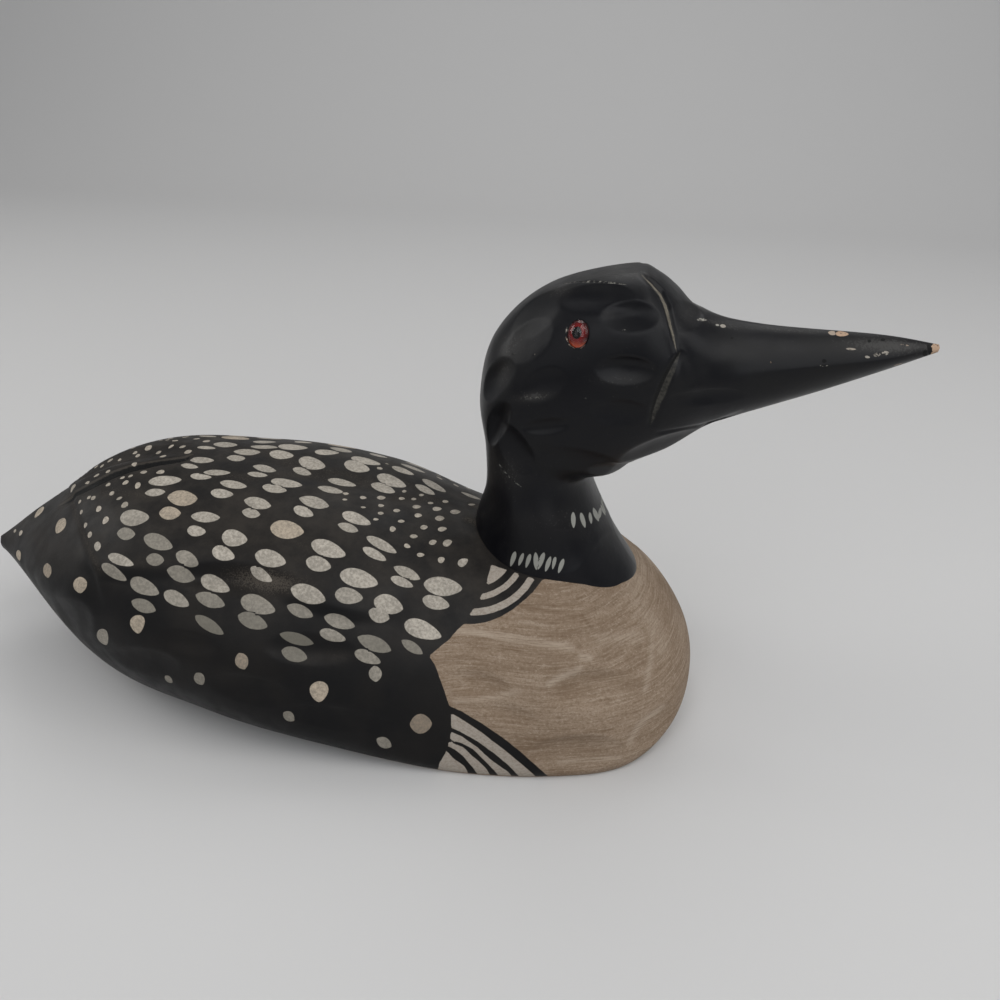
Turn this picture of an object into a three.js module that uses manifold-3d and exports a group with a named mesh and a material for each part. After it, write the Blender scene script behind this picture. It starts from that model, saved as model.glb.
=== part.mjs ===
// Loon decoy: a carved and painted wooden bird resting on its flat underside.
// Millimetres, +Z up. The bird faces +X and its right side is -Y. The origin is on the floor,
// under the middle of the whole carving.
import * as THREE from 'three';
import { mergeVertices } from 'three/addons/utils/BufferGeometryUtils.js';
import Module from 'manifold-3d';

const wasm = await Module();
wasm.setup();

// Body block
const BODY_LENGTH = 322; // tail tip to breast
const BODY_WIDTH = 157; // across the flanks
const BACK_HEIGHT = 97; // floor to the top of the back

// Head, neck and bill, carved as one piece
const HEAD_LENGTH = 174; // nape to bill tip
const HEAD_HEIGHT = 121; // neck seat to crown
const HEAD_WIDTH = 65; // across the cheeks
const NECK_SEAT = 0.807; // where the middle of the neck stands, as a share of the body's length
const SEAT_DEPTH = 6.5; // from the back's middle line down to the middle of the seat
const SEAT_GAP = 0.3; // glue line between the neck and the body

// Glass eyes, each an upright oval bead
const EYE_WIDTH = 9.4; // along the head
const EYE_HEIGHT = 12.3;
const EYE_THICKNESS = 10; // across the head
const EYE_PROUD = 2.4; // how far the glass stands out of the cheek
const EYE_CLEARANCE = 0.3;

// Carving
const WING_STEP = 1.4; // drop from the wing tips to the tail
const STEP_SLOPE = 5; // length of that bevel along the back
const WING_SWEEP = 0.67; // how far the wing's end runs forward for each millimetre outwards
const WING_TIP = 0.124; // where the wing tips stop on the middle line, as a share of the body's length
const RUMP_VALLEY_DEPTH = 5; // valley between the wing tips
const RUMP_VALLEY_HALF_WIDTH = 9;
const SLIT_DEPTH = 2.5; // dark cut along the valley's floor
const SLIT_HALF_WIDTH = 4;
const BACK_VALLEY_DEPTH = 2; // soft hollow along the middle of the back
const BACK_VALLEY_HALF_WIDTH = 14;
const FLANK_DROP = 2.2; // how far the wing stands over the flank
const BILL_GROOVE_DEPTH = 2.2;
const BILL_GROOVE_HALF_WIDTH = 3.4;
const MOUTH_DEPTH = 1;
const MOUTH_HALF_WIDTH = 2.5;

// How finely the faces are cut
const BODY_RINGS = 72;
const BODY_AROUND = 40;
const HEAD_RINGS = 52;
const HEAD_AROUND = 28;
const EYE_AROUND = 16;
const EYE_RINGS = 8;

// Shape of the body from tail to breast, at even steps. Half widths are shares of half
// BODY_WIDTH and heights are shares of BACK_HEIGHT.
const HALF_WIDTHS = [0.02, 0.735, 0.99, 0.985, 0.935, 0.885, 0.744, 0.466, 0.004];
const TOPS = [0.49, 0.959, 0.998, 0.963, 0.83, 0.79, 0.615, 0.382, 0.188];
const WIDEST = [0.46, 0.567, 0.443, 0.246, 0.075, 0.08, 0.07, 0.139, 0.186];
const KEELS = [0.42, -0.05, -0.06, -0.09, -0.093, -0.093, -0.067, 0.047, 0.183];
const UPPER_ROUNDING = [1.35, 1.8, 2.1, 2.2, 2, 2.2, 2.1, 2, 2];
const LOWER_ROUNDING = [1.35, 1.8, 2.3, 2.7, 3, 3, 2.7, 2.2, 2];

// Shape of the head from the neck's foot to the bill tip. Each rib joins a point on the nape or
// crown to a point on the throat: x as shares of HEAD_LENGTH ahead of the neck's middle, z as
// shares of HEAD_HEIGHT above the seat, half width as a share of half HEAD_WIDTH.
const RIBS = [
  { nape: [-0.21, -0.07], throat: [0.217, -0.245], half: 1.07, round: 2 },
  { nape: [-0.198, 0.097], throat: [0.201, -0.081], half: 1.006, round: 2 },
  { nape: [-0.176, 0.223], throat: [0.12, 0.111], half: 0.963, round: 2 },
  { nape: [-0.179, 0.377], throat: [0.075, 0.287], half: 0.871, round: 2 },
  { nape: [-0.194, 0.554], throat: [0.14, 0.324], half: 0.923, round: 2.1 },
  { nape: [-0.163, 0.756], throat: [0.177, 0.365], half: 0.957, round: 2.2 },
  { nape: [-0.05, 0.92], throat: [0.251, 0.421], half: 0.948, round: 2.2 },
  { nape: [0.125, 0.999], throat: [0.326, 0.505], half: 0.905, round: 2.2 },
  { nape: [0.194, 0.977], throat: [0.38, 0.537], half: 0.732, round: 2.2 },
  { nape: [0.295, 0.874], throat: [0.469, 0.581], half: 0.526, round: 1.9 },
  { nape: [0.423, 0.841], throat: [0.568, 0.635], half: 0.385, round: 1.6 },
  { nape: [0.674, 0.832], throat: [0.68, 0.707], half: 0.234, round: 1.5 },
  { nape: [0.803, 0.812], throat: [0.803, 0.79], half: 0.037, round: 1.7 },
];

// Smooth curve through evenly spaced values, by the Catmull-Rom formula, running straight on
// past both ends. t runs from 0 to 1.
function along(values, t) {
  const last = values.length - 1;
  const place = Math.min(Math.max(t, 0), 1) * last;
  const i = Math.min(Math.floor(place), last - 1);
  const f = place - i;
  const at = (k) => {
    if (k < 0) return 2 * values[0] - values[1];
    if (k > last) return 2 * values[last] - values[last - 1];
    return values[k];
  };
  const slopeIn = (at(i + 1) - at(i - 1)) / 2;
  const slopeOut = (at(i + 2) - at(i)) / 2;
  const cubic = 2 * at(i) - 2 * at(i + 1) + slopeIn + slopeOut;
  const square = -3 * at(i) + 3 * at(i + 1) - 2 * slopeIn - slopeOut;
  return ((cubic * f + square) * f + slopeIn) * f + at(i);
}

// 0 below the low edge, 1 above the high edge and a smooth rise between.
const rise = (low, high, value) => THREE.MathUtils.smoothstep(value, low, high);

// Cosine or sine bent towards a squarer or sharper section by the rounding exponent.
const bent = (value, rounding) => Math.sign(value) * Math.abs(value) ** (2 / rounding);

// Height of the back above the floor at a distance from the tail tip.
function backHeight(x) {
  const t = (2 / Math.PI) * Math.asin(Math.min(x / BODY_LENGTH, 1));
  return along(TOPS, t) * BACK_HEIGHT;
}

// A point on the plain body before it is carved. t runs from tail to breast, s round the
// section: up the left side, over the back, down the right side, and back under the base.
// grow moves the skin outwards.
const SIDE_SHARE = 0.8;
function bodyPoint(t, s, grow = 0) {
  const x = BODY_LENGTH * Math.sin((Math.PI / 2) * t);
  const half = (along(HALF_WIDTHS, t) * BODY_WIDTH) / 2 + grow;
  const top = along(TOPS, t) * BACK_HEIGHT + grow;
  const widest = along(WIDEST, t) * BACK_HEIGHT;
  const keel = along(KEELS, t) * BACK_HEIGHT;
  const upper = along(UPPER_ROUNDING, t);
  const lower = along(LOWER_ROUNDING, t);
  const reach = Math.min(widest / (widest - keel), 0.985);
  const start = -Math.asin(reach ** (lower / 2));
  const sides = Math.PI - 2 * start;
  const angle =
    s < SIDE_SHARE
      ? start + (sides * s) / SIDE_SHARE
      : start + sides + ((2 * Math.PI - sides) * (s - SIDE_SHARE)) / (1 - SIDE_SHARE);
  const above = Math.sin(angle) >= 0;
  const rounding = above ? upper : lower;
  const depth = above ? top - widest : widest - keel;
  const y = half * bent(Math.cos(angle), rounding);
  const z = widest + depth * bent(Math.sin(angle), rounding);
  return new THREE.Vector3(x, y, Math.max(z, 0));
}

// Middle of the neck's seat on the back.
const seatX = NECK_SEAT * BODY_LENGTH;
const seatZ = backHeight(seatX) - SEAT_DEPTH;

// A point on the plain head before it is carved. t runs from the neck's foot to the bill tip.
function headPoint(t, s) {
  const from = (pick) => along(RIBS.map(pick), t);
  const nape = [from((r) => r.nape[0]), from((r) => r.nape[1])];
  const throat = [from((r) => r.throat[0]), from((r) => r.throat[1])];
  const half = (from((r) => r.half) * HEAD_WIDTH) / 2;
  const rounding = from((r) => r.round);
  const up = bent(Math.sin(2 * Math.PI * s), rounding);
  const out = bent(Math.cos(2 * Math.PI * s), rounding);
  const mix = (a, b) => (a + b) / 2 + ((a - b) / 2) * up;
  return new THREE.Vector3(
    seatX + mix(nape[0], throat[0]) * HEAD_LENGTH,
    half * out,
    seatZ + mix(nape[1], throat[1]) * HEAD_HEIGHT,
  );
}

// Side view place on the head, as a point in shares of its length and height.
const onHead = (p) => new THREE.Vector2((p.x - seatX) / HEAD_LENGTH, (p.z - seatZ) / HEAD_HEIGHT);

// Depth of one gouge hollow: a shallow dish inside a tilted oval.
function dish(hollow, x, z) {
  const dx = x - hollow.x;
  const dz = z - hollow.z;
  const c = Math.cos(hollow.tilt);
  const s = Math.sin(hollow.tilt);
  const r2 = ((dx * c + dz * s) / (hollow.long / 2)) ** 2 + ((dz * c - dx * s) / (hollow.tall / 2)) ** 2;
  return r2 < 1 ? hollow.depth * (1 - r2) : 0;
}

// Depth of a set of hollows at a place. Their middles are shares of the length and height given,
// and their own sizes are millimetres.
function dishes(hollows, x, z, length, height) {
  const placed = hollows.map((h) => ({ ...h, x: h.x * length, z: h.z * height }));
  return placed.reduce((sum, hollow) => sum + dish(hollow, x, z), 0);
}

// Gouge hollows on the flanks, by place on the body.
const FLANK_HOLLOWS = [
  { x: 0.24, z: 0.52, long: 36, tall: 16, tilt: 0.5, depth: 1.2 },
  { x: 0.34, z: 0.44, long: 40, tall: 18, tilt: -0.1, depth: 1.2 },
  { x: 0.475, z: 0.775, long: 60, tall: 18, tilt: -0.1, depth: 2.4 },
  { x: 0.49, z: 0.36, long: 44, tall: 16, tilt: -0.1, depth: 1.4 },
  { x: 0.57, z: 0.53, long: 42, tall: 20, tilt: -0.1, depth: 0.9 },
  { x: 0.87, z: 0.36, long: 40, tall: 18, tilt: -0.2, depth: 1.2 },
  { x: 0.84, z: 0.14, long: 42, tall: 14, tilt: -0.1, depth: 1.2 },
];

// Gouge hollows on the cheeks and neck, by place on the head.
const HEAD_HOLLOWS = [
  { x: 0.136, z: 0.902, long: 24, tall: 13, tilt: 0, depth: 1.5 },
  { x: 0.139, z: 0.748, long: 26, tall: 13, tilt: -0.05, depth: 1.7 },
  { x: 0.133, z: 0.615, long: 24, tall: 13, tilt: -0.1, depth: 1.5 },
  { x: -0.073, z: 0.795, long: 22, tall: 13, tilt: 0.7, depth: 1 },
  { x: -0.03, z: 0.675, long: 18, tall: 12, tilt: 0.5, depth: 1 },
  { x: -0.142, z: 0.66, long: 18, tall: 12, tilt: 1.3, depth: 1.4 },
  { x: -0.139, z: 0.508, long: 20, tall: 10, tilt: 1.4, depth: 1.8 },
  { x: -0.02, z: 0.548, long: 18, tall: 8, tilt: 0, depth: 0.8 },
];

// The line where the wing's lower edge runs over the flank: height as a share of BACK_HEIGHT.
const WING_EDGE = [0.742, 0.778, 0.804, 0.81, 0.742, 0.686, 0.66];
const WING_EDGE_START = 0.25;
const WING_EDGE_END = 0.63;
const WING_EDGE_BEVEL = [-2, 3]; // from just above the edge to full depth just below it
const FLANK_FADE = [10, 34]; // below the edge, where the flank swells out again

// Where the wing tips stop: further forward the further they are from the middle line.
const wingEnd = (y) => WING_TIP * BODY_LENGTH + WING_SWEEP * Math.abs(y);

// Where each cut on the body begins, is whole, begins to fade and has gone, as shares of its
// length.
const TAIL_STEP_STRETCH = [0.03, 0.13];
const RUMP_VALLEY_STRETCH = [0.07, 0.13, 0.21, 0.31];
const SLIT_STRETCH = [0.13, 0.17, 0.28, 0.32];
const BACK_VALLEY_STRETCH = [0.34, 0.46, 0.54, 0.66];
const WING_EDGE_STRETCH = [0.2, 0.27, 0.55, 0.68];
const UPPER_SIDE = [0.55, 0.75]; // shares of BACK_HEIGHT over which the cuts of the back set in

const over = (stretch, share) =>
  rise(stretch[0], stretch[1], share) * (1 - rise(stretch[2], stretch[3], share));
const vee = (off, halfWidth) => Math.max(0, 1 - off / halfWidth);

// How far the skin of the body moves out along its normal at a point.
function carveBody(p) {
  const share = p.x / BODY_LENGTH;
  const off = Math.abs(p.y);
  const tailSide = 1 - rise(-STEP_SLOPE, 0, p.x - wingEnd(p.y));
  let back = WING_STEP * tailSide * rise(...TAIL_STEP_STRETCH, share);
  back += RUMP_VALLEY_DEPTH * over(RUMP_VALLEY_STRETCH, share) * vee(off, RUMP_VALLEY_HALF_WIDTH);
  back += SLIT_DEPTH * over(SLIT_STRETCH, share) * vee(off, SLIT_HALF_WIDTH);
  const valley = Math.exp(-((off / BACK_VALLEY_HALF_WIDTH) ** 2));
  back += BACK_VALLEY_DEPTH * over(BACK_VALLEY_STRETCH, share) * valley;
  const edgeT = (share - WING_EDGE_START) / (WING_EDGE_END - WING_EDGE_START);
  const below = along(WING_EDGE, edgeT) * BACK_HEIGHT - p.z;
  const drop = rise(...WING_EDGE_BEVEL, below) * (1 - rise(...FLANK_FADE, below));
  const flank = FLANK_DROP * drop * over(WING_EDGE_STRETCH, share);
  const scoops = dishes(FLANK_HOLLOWS, p.x, p.z, BODY_LENGTH, BACK_HEIGHT);
  return -back * rise(...UPPER_SIDE, p.z / BACK_HEIGHT) - flank - scoops;
}

// Distance from a point to a straight line between two points.
function toLine(p, a, b) {
  const line = b.clone().sub(a);
  const share = THREE.MathUtils.clamp(p.clone().sub(a).dot(line) / line.lengthSq(), 0, 1);
  return p.distanceTo(a.clone().addScaledVector(line, share));
}

// The groove round the bill's base and the mouth line, as strokes by place on the head.
const BILL_GROOVE = [[0.15, 1], [0.2, 0.955], [0.228, 0.876], [0.236, 0.82], [0.224, 0.741], [0.199, 0.615]];
const MOUTH = [[0.2, 0.528], [0.26, 0.535], [0.345, 0.562]];

// A V-shaped cut that follows a stroke, deepest on it.
function cut(stroke, p, halfWidth, depth) {
  const inMm = (q) => new THREE.Vector2(q[0] * HEAD_LENGTH, q[1] * HEAD_HEIGHT);
  const place = onHead(p);
  const here = inMm([place.x, place.y]);
  let nearest = Infinity;
  for (let i = 0; i + 1 < stroke.length; i += 1) {
    nearest = Math.min(nearest, toLine(here, inMm(stroke[i]), inMm(stroke[i + 1])));
  }
  return depth * vee(nearest, halfWidth);
}

// How far the skin of the head moves out along its normal at a point.
function carveHead(p) {
  const place = onHead(p);
  const groove = cut(BILL_GROOVE, p, BILL_GROOVE_HALF_WIDTH, BILL_GROOVE_DEPTH);
  const mouth = cut(MOUTH, p, MOUTH_HALF_WIDTH, MOUTH_DEPTH);
  const x = place.x * HEAD_LENGTH;
  const z = place.y * HEAD_HEIGHT;
  return -groove - mouth - dishes(HEAD_HOLLOWS, x, z, HEAD_LENGTH, HEAD_HEIGHT);
}

// Outward normal of a skin function, from the slopes along it and round it.
function skinNormal(point, t, s) {
  const step = 0.004;
  const lengthwise = point(Math.min(t + step, 1), s).sub(point(Math.max(t - step, 0), s));
  const round = point(t, (s + step) % 1).sub(point(t, (s + 1 - step) % 1));
  return round.cross(lengthwise).normalize();
}

// A closed skin of rings between a first and a last pole, carved by moving each point along
// its normal.
function loft(point, carve, rings, around) {
  const spots = [];
  const pole = (t) => {
    const middle = new THREE.Vector3();
    for (let j = 0; j < around; j += 1) middle.addScaledVector(point(t, j / around), 1 / around);
    return middle;
  };
  spots.push(pole(0));
  for (let i = 0; i < rings; i += 1) {
    const t = i / rings;
    for (let j = 0; j < around; j += 1) {
      const p = point(t, j / around);
      const out = i === 0 ? 0 : carve(p);
      if (out !== 0) p.addScaledVector(skinNormal(point, t, j / around), out);
      spots.push(p);
    }
  }
  spots.push(pole(1));
  const faces = [];
  const last = spots.length - 1;
  for (let j = 0; j < around; j += 1) {
    const k = (j + 1) % around;
    faces.push(0, 1 + k, 1 + j);
    for (let i = 0; i + 1 < rings; i += 1) {
      const a = 1 + i * around;
      const b = a + around;
      faces.push(a + j, a + k, b + k, a + j, b + k, b + j);
    }
    const a = 1 + (rings - 1) * around;
    faces.push(a + j, a + k, last);
  }
  const shape = new THREE.BufferGeometry().setFromPoints(spots);
  shape.setIndex(faces);
  return shape;
}

// A three.js shape as a closed solid that can be cut.
function toSolid(shape) {
  const plain = new THREE.BufferGeometry();
  plain.setAttribute('position', shape.getAttribute('position'));
  if (shape.index) plain.setIndex(shape.index);
  const merged = mergeVertices(plain, 1e-4);
  return new wasm.Manifold(
    new wasm.Mesh({
      numProp: 3,
      vertProperties: merged.getAttribute('position').array,
      triVerts: new Uint32Array(merged.index.array),
    }),
  );
}

// A cut solid as a three.js shape.
function toShape(solid) {
  const mesh = solid.getMesh();
  const shape = new THREE.BufferGeometry();
  shape.setAttribute('position', new THREE.BufferAttribute(mesh.vertProperties, 3));
  shape.setIndex(new THREE.BufferAttribute(mesh.triVerts, 1));
  shape.computeVertexNormals();
  return shape;
}

// The eye's middle: on the cheek at its place, set back so that it stands EYE_PROUD out.
const EYE_PLACE = [0.036, 0.83];
function eyeMiddle(side) {
  let best = null;
  for (let t = 0.3; t < 0.7; t += 0.004) {
    for (let s = 0.25; s < 0.75; s += 0.004) {
      const p = headPoint(t, s);
      const place = onHead(p);
      const miss = Math.hypot(
        (place.x - EYE_PLACE[0]) * HEAD_LENGTH,
        (place.y - EYE_PLACE[1]) * HEAD_HEIGHT,
      );
      if (!best || miss < best.miss) best = { miss, p };
    }
  }
  const inward = EYE_THICKNESS / 2 - EYE_PROUD;
  return new THREE.Vector3(best.p.x, side * (Math.abs(best.p.y) - inward), best.p.z);
}

// The bead on one side, grown by a clearance all round.
function eyeBead(side, grow = 0) {
  const middle = eyeMiddle(side);
  return new THREE.SphereGeometry(0.5, EYE_AROUND, EYE_RINGS)
    .rotateX(Math.PI / 2)
    .scale(EYE_WIDTH + 2 * grow, EYE_THICKNESS + 2 * grow, EYE_HEIGHT + 2 * grow)
    .translate(middle.x, middle.y, middle.z);
}

function makeBody() {
  return loft(bodyPoint, carveBody, BODY_RINGS, BODY_AROUND);
}

function makeHead() {
  const whole = toSolid(loft(headPoint, carveHead, HEAD_RINGS, HEAD_AROUND));
  const grown = (t, s) => bodyPoint(t, s, SEAT_GAP);
  const seat = toSolid(loft(grown, carveBody, BODY_RINGS, BODY_AROUND));
  let head = whole.subtract(seat);
  for (const side of [-1, 1]) {
    head = head.subtract(toSolid(eyeBead(side, EYE_CLEARANCE)));
  }
  return toShape(head);
}

const blackPaint = new THREE.MeshStandardMaterial({ color: 0x2c2b2b, roughness: 0.6, metalness: 0 });
const headPaint = new THREE.MeshStandardMaterial({ color: 0x222326, roughness: 0.45, metalness: 0 });
const redGlass = new THREE.MeshStandardMaterial({ color: 0x7c1a18, roughness: 0.08, metalness: 0 });

const decoy = new THREE.Group();
decoy.position.x = -(seatX + RIBS[RIBS.length - 1].nape[0] * HEAD_LENGTH) / 2;

function add(name, shape, finish) {
  const mesh = new THREE.Mesh(shape, finish);
  mesh.name = name;
  decoy.add(mesh);
}

add('body', makeBody(), blackPaint);
add('head', makeHead(), headPaint);
add('eye_right', eyeBead(-1), redGlass);
add('eye_left', eyeBead(1), redGlass);

export default decoy;
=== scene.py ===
# %% [markdown]
# # A carved and painted loon decoy
# The real decoy is a block of wood cut with knife and gouge, a neck and head carved as a second
# block and seated on it, and two glass eyes. The solids that carry the part are plain and faceted.
# This lesson lays fine skins over them, from the same formulas, and paints them with nodes.
# Every size is in millimetres, measured from the tail tip along X, until a mesh is made.

# %% Load the solids
import math

import bpy
import numpy as np
from mathutils import Matrix, Vector


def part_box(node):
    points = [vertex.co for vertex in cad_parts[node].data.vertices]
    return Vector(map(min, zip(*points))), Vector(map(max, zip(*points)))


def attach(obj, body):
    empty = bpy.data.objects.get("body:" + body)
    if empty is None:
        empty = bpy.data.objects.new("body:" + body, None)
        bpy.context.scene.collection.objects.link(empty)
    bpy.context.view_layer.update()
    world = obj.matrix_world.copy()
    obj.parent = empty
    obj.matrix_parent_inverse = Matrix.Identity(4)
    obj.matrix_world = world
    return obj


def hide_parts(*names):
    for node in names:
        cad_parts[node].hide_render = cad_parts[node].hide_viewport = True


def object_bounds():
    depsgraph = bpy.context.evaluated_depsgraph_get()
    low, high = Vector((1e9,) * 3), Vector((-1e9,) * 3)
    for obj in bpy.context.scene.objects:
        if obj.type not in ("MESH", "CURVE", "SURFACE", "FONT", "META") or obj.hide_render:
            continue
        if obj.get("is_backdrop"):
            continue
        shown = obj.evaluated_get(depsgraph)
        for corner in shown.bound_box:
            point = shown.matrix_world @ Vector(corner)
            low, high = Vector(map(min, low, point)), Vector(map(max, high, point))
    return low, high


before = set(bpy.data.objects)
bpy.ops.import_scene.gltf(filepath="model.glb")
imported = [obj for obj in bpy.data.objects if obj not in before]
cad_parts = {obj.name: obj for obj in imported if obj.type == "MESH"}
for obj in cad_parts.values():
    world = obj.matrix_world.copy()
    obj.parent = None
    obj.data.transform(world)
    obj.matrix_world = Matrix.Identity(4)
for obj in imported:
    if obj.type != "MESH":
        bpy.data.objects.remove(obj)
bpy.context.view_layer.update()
MM = 0.001
tail_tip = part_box("body")[0].x
print("solids:", sorted(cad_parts), "tail tip at", round(tail_tip, 4), "m")

# %% [markdown]
# ## The camera
# The decoy was seen from close by, a little above and ahead of its right side. A camera could be
# set by eye, but this one was fitted to the carving's outline, because the painted marks are
# placed by where they show in the 1000 by 1000 picture: the function `seen` turns a point on the
# carving into a place in that picture.

# %% Camera
PICTURE = 1000
AIM = np.array([234.9, 0.0, 88.8])
TURN = math.radians(7.57)
LIFT = math.radians(27.32)
LEAN = math.radians(1.43)
DISTANCE = 465.5
FOCAL_SHARE = 1.0942  # focal length as a share of the picture's width
SENSOR = 36
CLIP_START = 0.02  # metres, short of the nearest part of the decoy

back = np.array([math.sin(TURN) * math.cos(LIFT), -math.cos(TURN) * math.cos(LIFT), math.sin(LIFT)])
level = np.array([math.cos(TURN), math.sin(TURN), 0.0])
upright = np.cross(back, level)
right = level * math.cos(LEAN) + upright * math.sin(LEAN)
up = upright * math.cos(LEAN) - level * math.sin(LEAN)
viewpoint = AIM + back * DISTANCE


def to_metres(points):
    """Millimetres from the tail tip become metres in the part's frame."""
    return np.asarray(points) * MM + np.array([tail_tip, 0.0, 0.0])


def seen(points):
    """Picture place of points: the offsets right and down over the depth, times the focal length."""
    away = points - viewpoint
    depth = -(away @ back)
    across = PICTURE * (0.5 + FOCAL_SHARE * (away @ right) / depth)
    down = PICTURE * (0.5 - FOCAL_SHARE * (away @ up) / depth)
    return np.stack([across, down], -1)


lens = bpy.data.cameras.new("camera")
lens.sensor_width = SENSOR
lens.lens = FOCAL_SHARE * SENSOR
lens.clip_start = CLIP_START
camera = bpy.data.objects.new("camera", lens)
bpy.context.scene.collection.objects.link(camera)
turned = Matrix(np.array([right, up, back]).T.tolist()).to_4x4()
camera.matrix_world = Matrix.Translation(to_metres(viewpoint).tolist()) @ turned
bpy.context.scene.camera = camera
print("camera stands", round(DISTANCE), "mm from the decoy's middle")

# %% [markdown]
# ## Curves that a carver would draw
# A body like this is drawn as a few sections and faired between them. A Catmull-Rom curve passes
# through each drawn value, so the list of values stays short and each one means a real width or
# height. A spline object would do as well, but a formula gives any point without a mesh.

# %% Fairing curves


def along(values, t):
    """Smooth curve through evenly spaced values, running straight on past both ends.
    Between b and c, with a before and d after: a cubic whose slope at b is half of c - a and at
    c is half of d - b."""
    v = np.asarray(values, float)
    v = np.concatenate([[2 * v[0] - v[1]], v, [2 * v[-1] - v[-2]]])
    place = np.clip(t, 0, 1) * (len(values) - 1)
    i = np.minimum(place.astype(int), len(values) - 2)
    f = place - i
    a, b, c, d = v[i], v[i + 1], v[i + 2], v[i + 3]
    cubic = 2 * b - 2 * c + (c - a) / 2 + (d - b) / 2
    square = -3 * b + 3 * c - (c - a) - (d - b) / 2
    return ((cubic * f + square) * f + (c - a) / 2) * f + b


def rise(low, high, value):
    """0 below low, 1 above high, and 3u^2 - 2u^3 between them."""
    u = np.clip((value - low) / (high - low), 0, 1)
    return u * u * (3 - 2 * u)


def over(stretch, value):
    """Rises over the first two marks of a stretch and falls over the last two."""
    return rise(stretch[0], stretch[1], value) * (1 - rise(stretch[2], stretch[3], value))


def vee(off, half_width):
    """1 on a line, falling straight to 0 at half_width from it."""
    return np.maximum(0, 1 - off / half_width)


def oval(angle, rounding):
    """Point of a unit superellipse in the direction of angle: cos and sin, each over the
    rounding-th root of |cos|^rounding + |sin|^rounding."""
    c, s = np.cos(angle), np.sin(angle)
    size = (np.abs(c) ** rounding + np.abs(s) ** rounding) ** (1 / rounding)
    return c / size, s / size


print("a fair curve through 0, 1 and 0 is", along([0, 1, 0], np.array(0.25)), "at a quarter")

# %% [markdown]
# ## The body block
# One block, longest at the back, with a wedge for the tail and a full breast. Each section is a
# superellipse: an upper half that crowns the back and a squarer lower half that the floor cuts
# flat. It could be sculpted from a box, but on a skin of rings that a formula gives, every carved
# mark can be a displacement of that skin.

# %% Plain body
BODY_LENGTH = (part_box("body")[1].x - tail_tip) / MM
BODY_WIDTH = 157
BACK_HEIGHT = 97
HALF_WIDTHS = [0.02, 0.735, 0.99, 0.985, 0.935, 0.885, 0.744, 0.466, 0.004]
TOPS = [0.49, 0.959, 0.998, 0.963, 0.83, 0.79, 0.615, 0.382, 0.188]
WIDEST = [0.46, 0.567, 0.443, 0.246, 0.075, 0.08, 0.07, 0.139, 0.186]
KEELS = [0.42, -0.05, -0.06, -0.09, -0.093, -0.093, -0.067, 0.047, 0.183]
UPPER_ROUNDING = [1.35, 1.8, 2.1, 2.2, 2, 2.2, 2.1, 2, 2]
LOWER_ROUNDING = [1.35, 1.8, 2.3, 2.7, 3, 3, 2.7, 2.2, 2]
SIDE_SHARE = 0.86  # share of the points round a section that lie above the floor
DEEPEST_REACH = 0.985


def body_skin(t, s):
    """The plain body. t from tail to breast sets x as length times sin(t quarter turns). s runs
    up the left side, over the back, down the right side and back under the base; height is
    clipped at the floor."""
    x = BODY_LENGTH * np.sin(np.pi / 2 * t)
    half = along(HALF_WIDTHS, t) * BODY_WIDTH / 2
    top = along(TOPS, t) * BACK_HEIGHT
    widest = along(WIDEST, t) * BACK_HEIGHT
    keel = along(KEELS, t) * BACK_HEIGHT
    lower = along(LOWER_ROUNDING, t)
    reach = np.minimum(widest / (widest - keel), DEEPEST_REACH)
    start = -np.arctan2(1, (reach**-lower - 1) ** (1 / lower))
    sides = np.pi - 2 * start
    on_side = start + sides * s / SIDE_SHARE
    on_base = start + sides + (2 * np.pi - sides) * (s - SIDE_SHARE) / (1 - SIDE_SHARE)
    angle = np.where(s < SIDE_SHARE, on_side, on_base)
    above = np.sin(angle) >= 0
    out, high = oval(angle, np.where(above, along(UPPER_ROUNDING, t), lower))
    z = widest + np.where(above, top - widest, widest - keel) * high
    return np.stack([x + 0 * s, half * out, np.maximum(z, 0)], -1)


def back_height(x, y):
    """Height of the plain back over a place on the floor: the upper half section solved for z."""
    t = 2 / np.pi * np.arcsin(np.clip(x / BODY_LENGTH, 0, 1))
    rounding = along(UPPER_ROUNDING, t)
    share = np.clip(np.abs(y) / (along(HALF_WIDTHS, t) * BODY_WIDTH / 2), 0, 1)
    widest = along(WIDEST, t) * BACK_HEIGHT
    crown = along(TOPS, t) * BACK_HEIGHT - widest
    return widest + crown * (1 - share**rounding) ** (1 / rounding)


def outward(grid):
    """Unit normals of a grid of points that closes round its second axis: the step round
    crossed with the step along."""
    lengthwise = np.gradient(grid, axis=0)
    around = np.roll(grid, -1, 1) - np.roll(grid, 1, 1)
    normal = np.cross(around, lengthwise)
    return normal / np.maximum(np.linalg.norm(normal, axis=-1, keepdims=True), 1e-9)


BODY_RINGS = 336
BODY_AROUND = 290
body_t, body_s = np.meshgrid(
    np.arange(BODY_RINGS) / BODY_RINGS, np.arange(BODY_AROUND) / BODY_AROUND, indexing="ij"
)
plain_body = body_skin(body_t, body_s)
print("plain body", plain_body.shape, "tallest", plain_body[..., 2].max().round(1), "mm")

# %% [markdown]
# ## Placing things where they are seen
# Hollows, spots and worn patches are each drawn as an oval in the picture: its middle, two axes
# and a tilt. They could be set in coordinates on the body, but a place in the picture can be
# compared by eye. The line of sight carries the oval back to the carving, where it becomes an
# oval that lies on the skin, so that it stays in place from every side.

# %% Ovals on a skin
LONGEST_STEP = 1.1  # a picture step never becomes more than this many mm on the skin


def faces_camera(points, normals):
    """Whether each point's normal leans towards the camera."""
    return ((viewpoint - points) * normals).sum(-1) > 0


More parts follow.
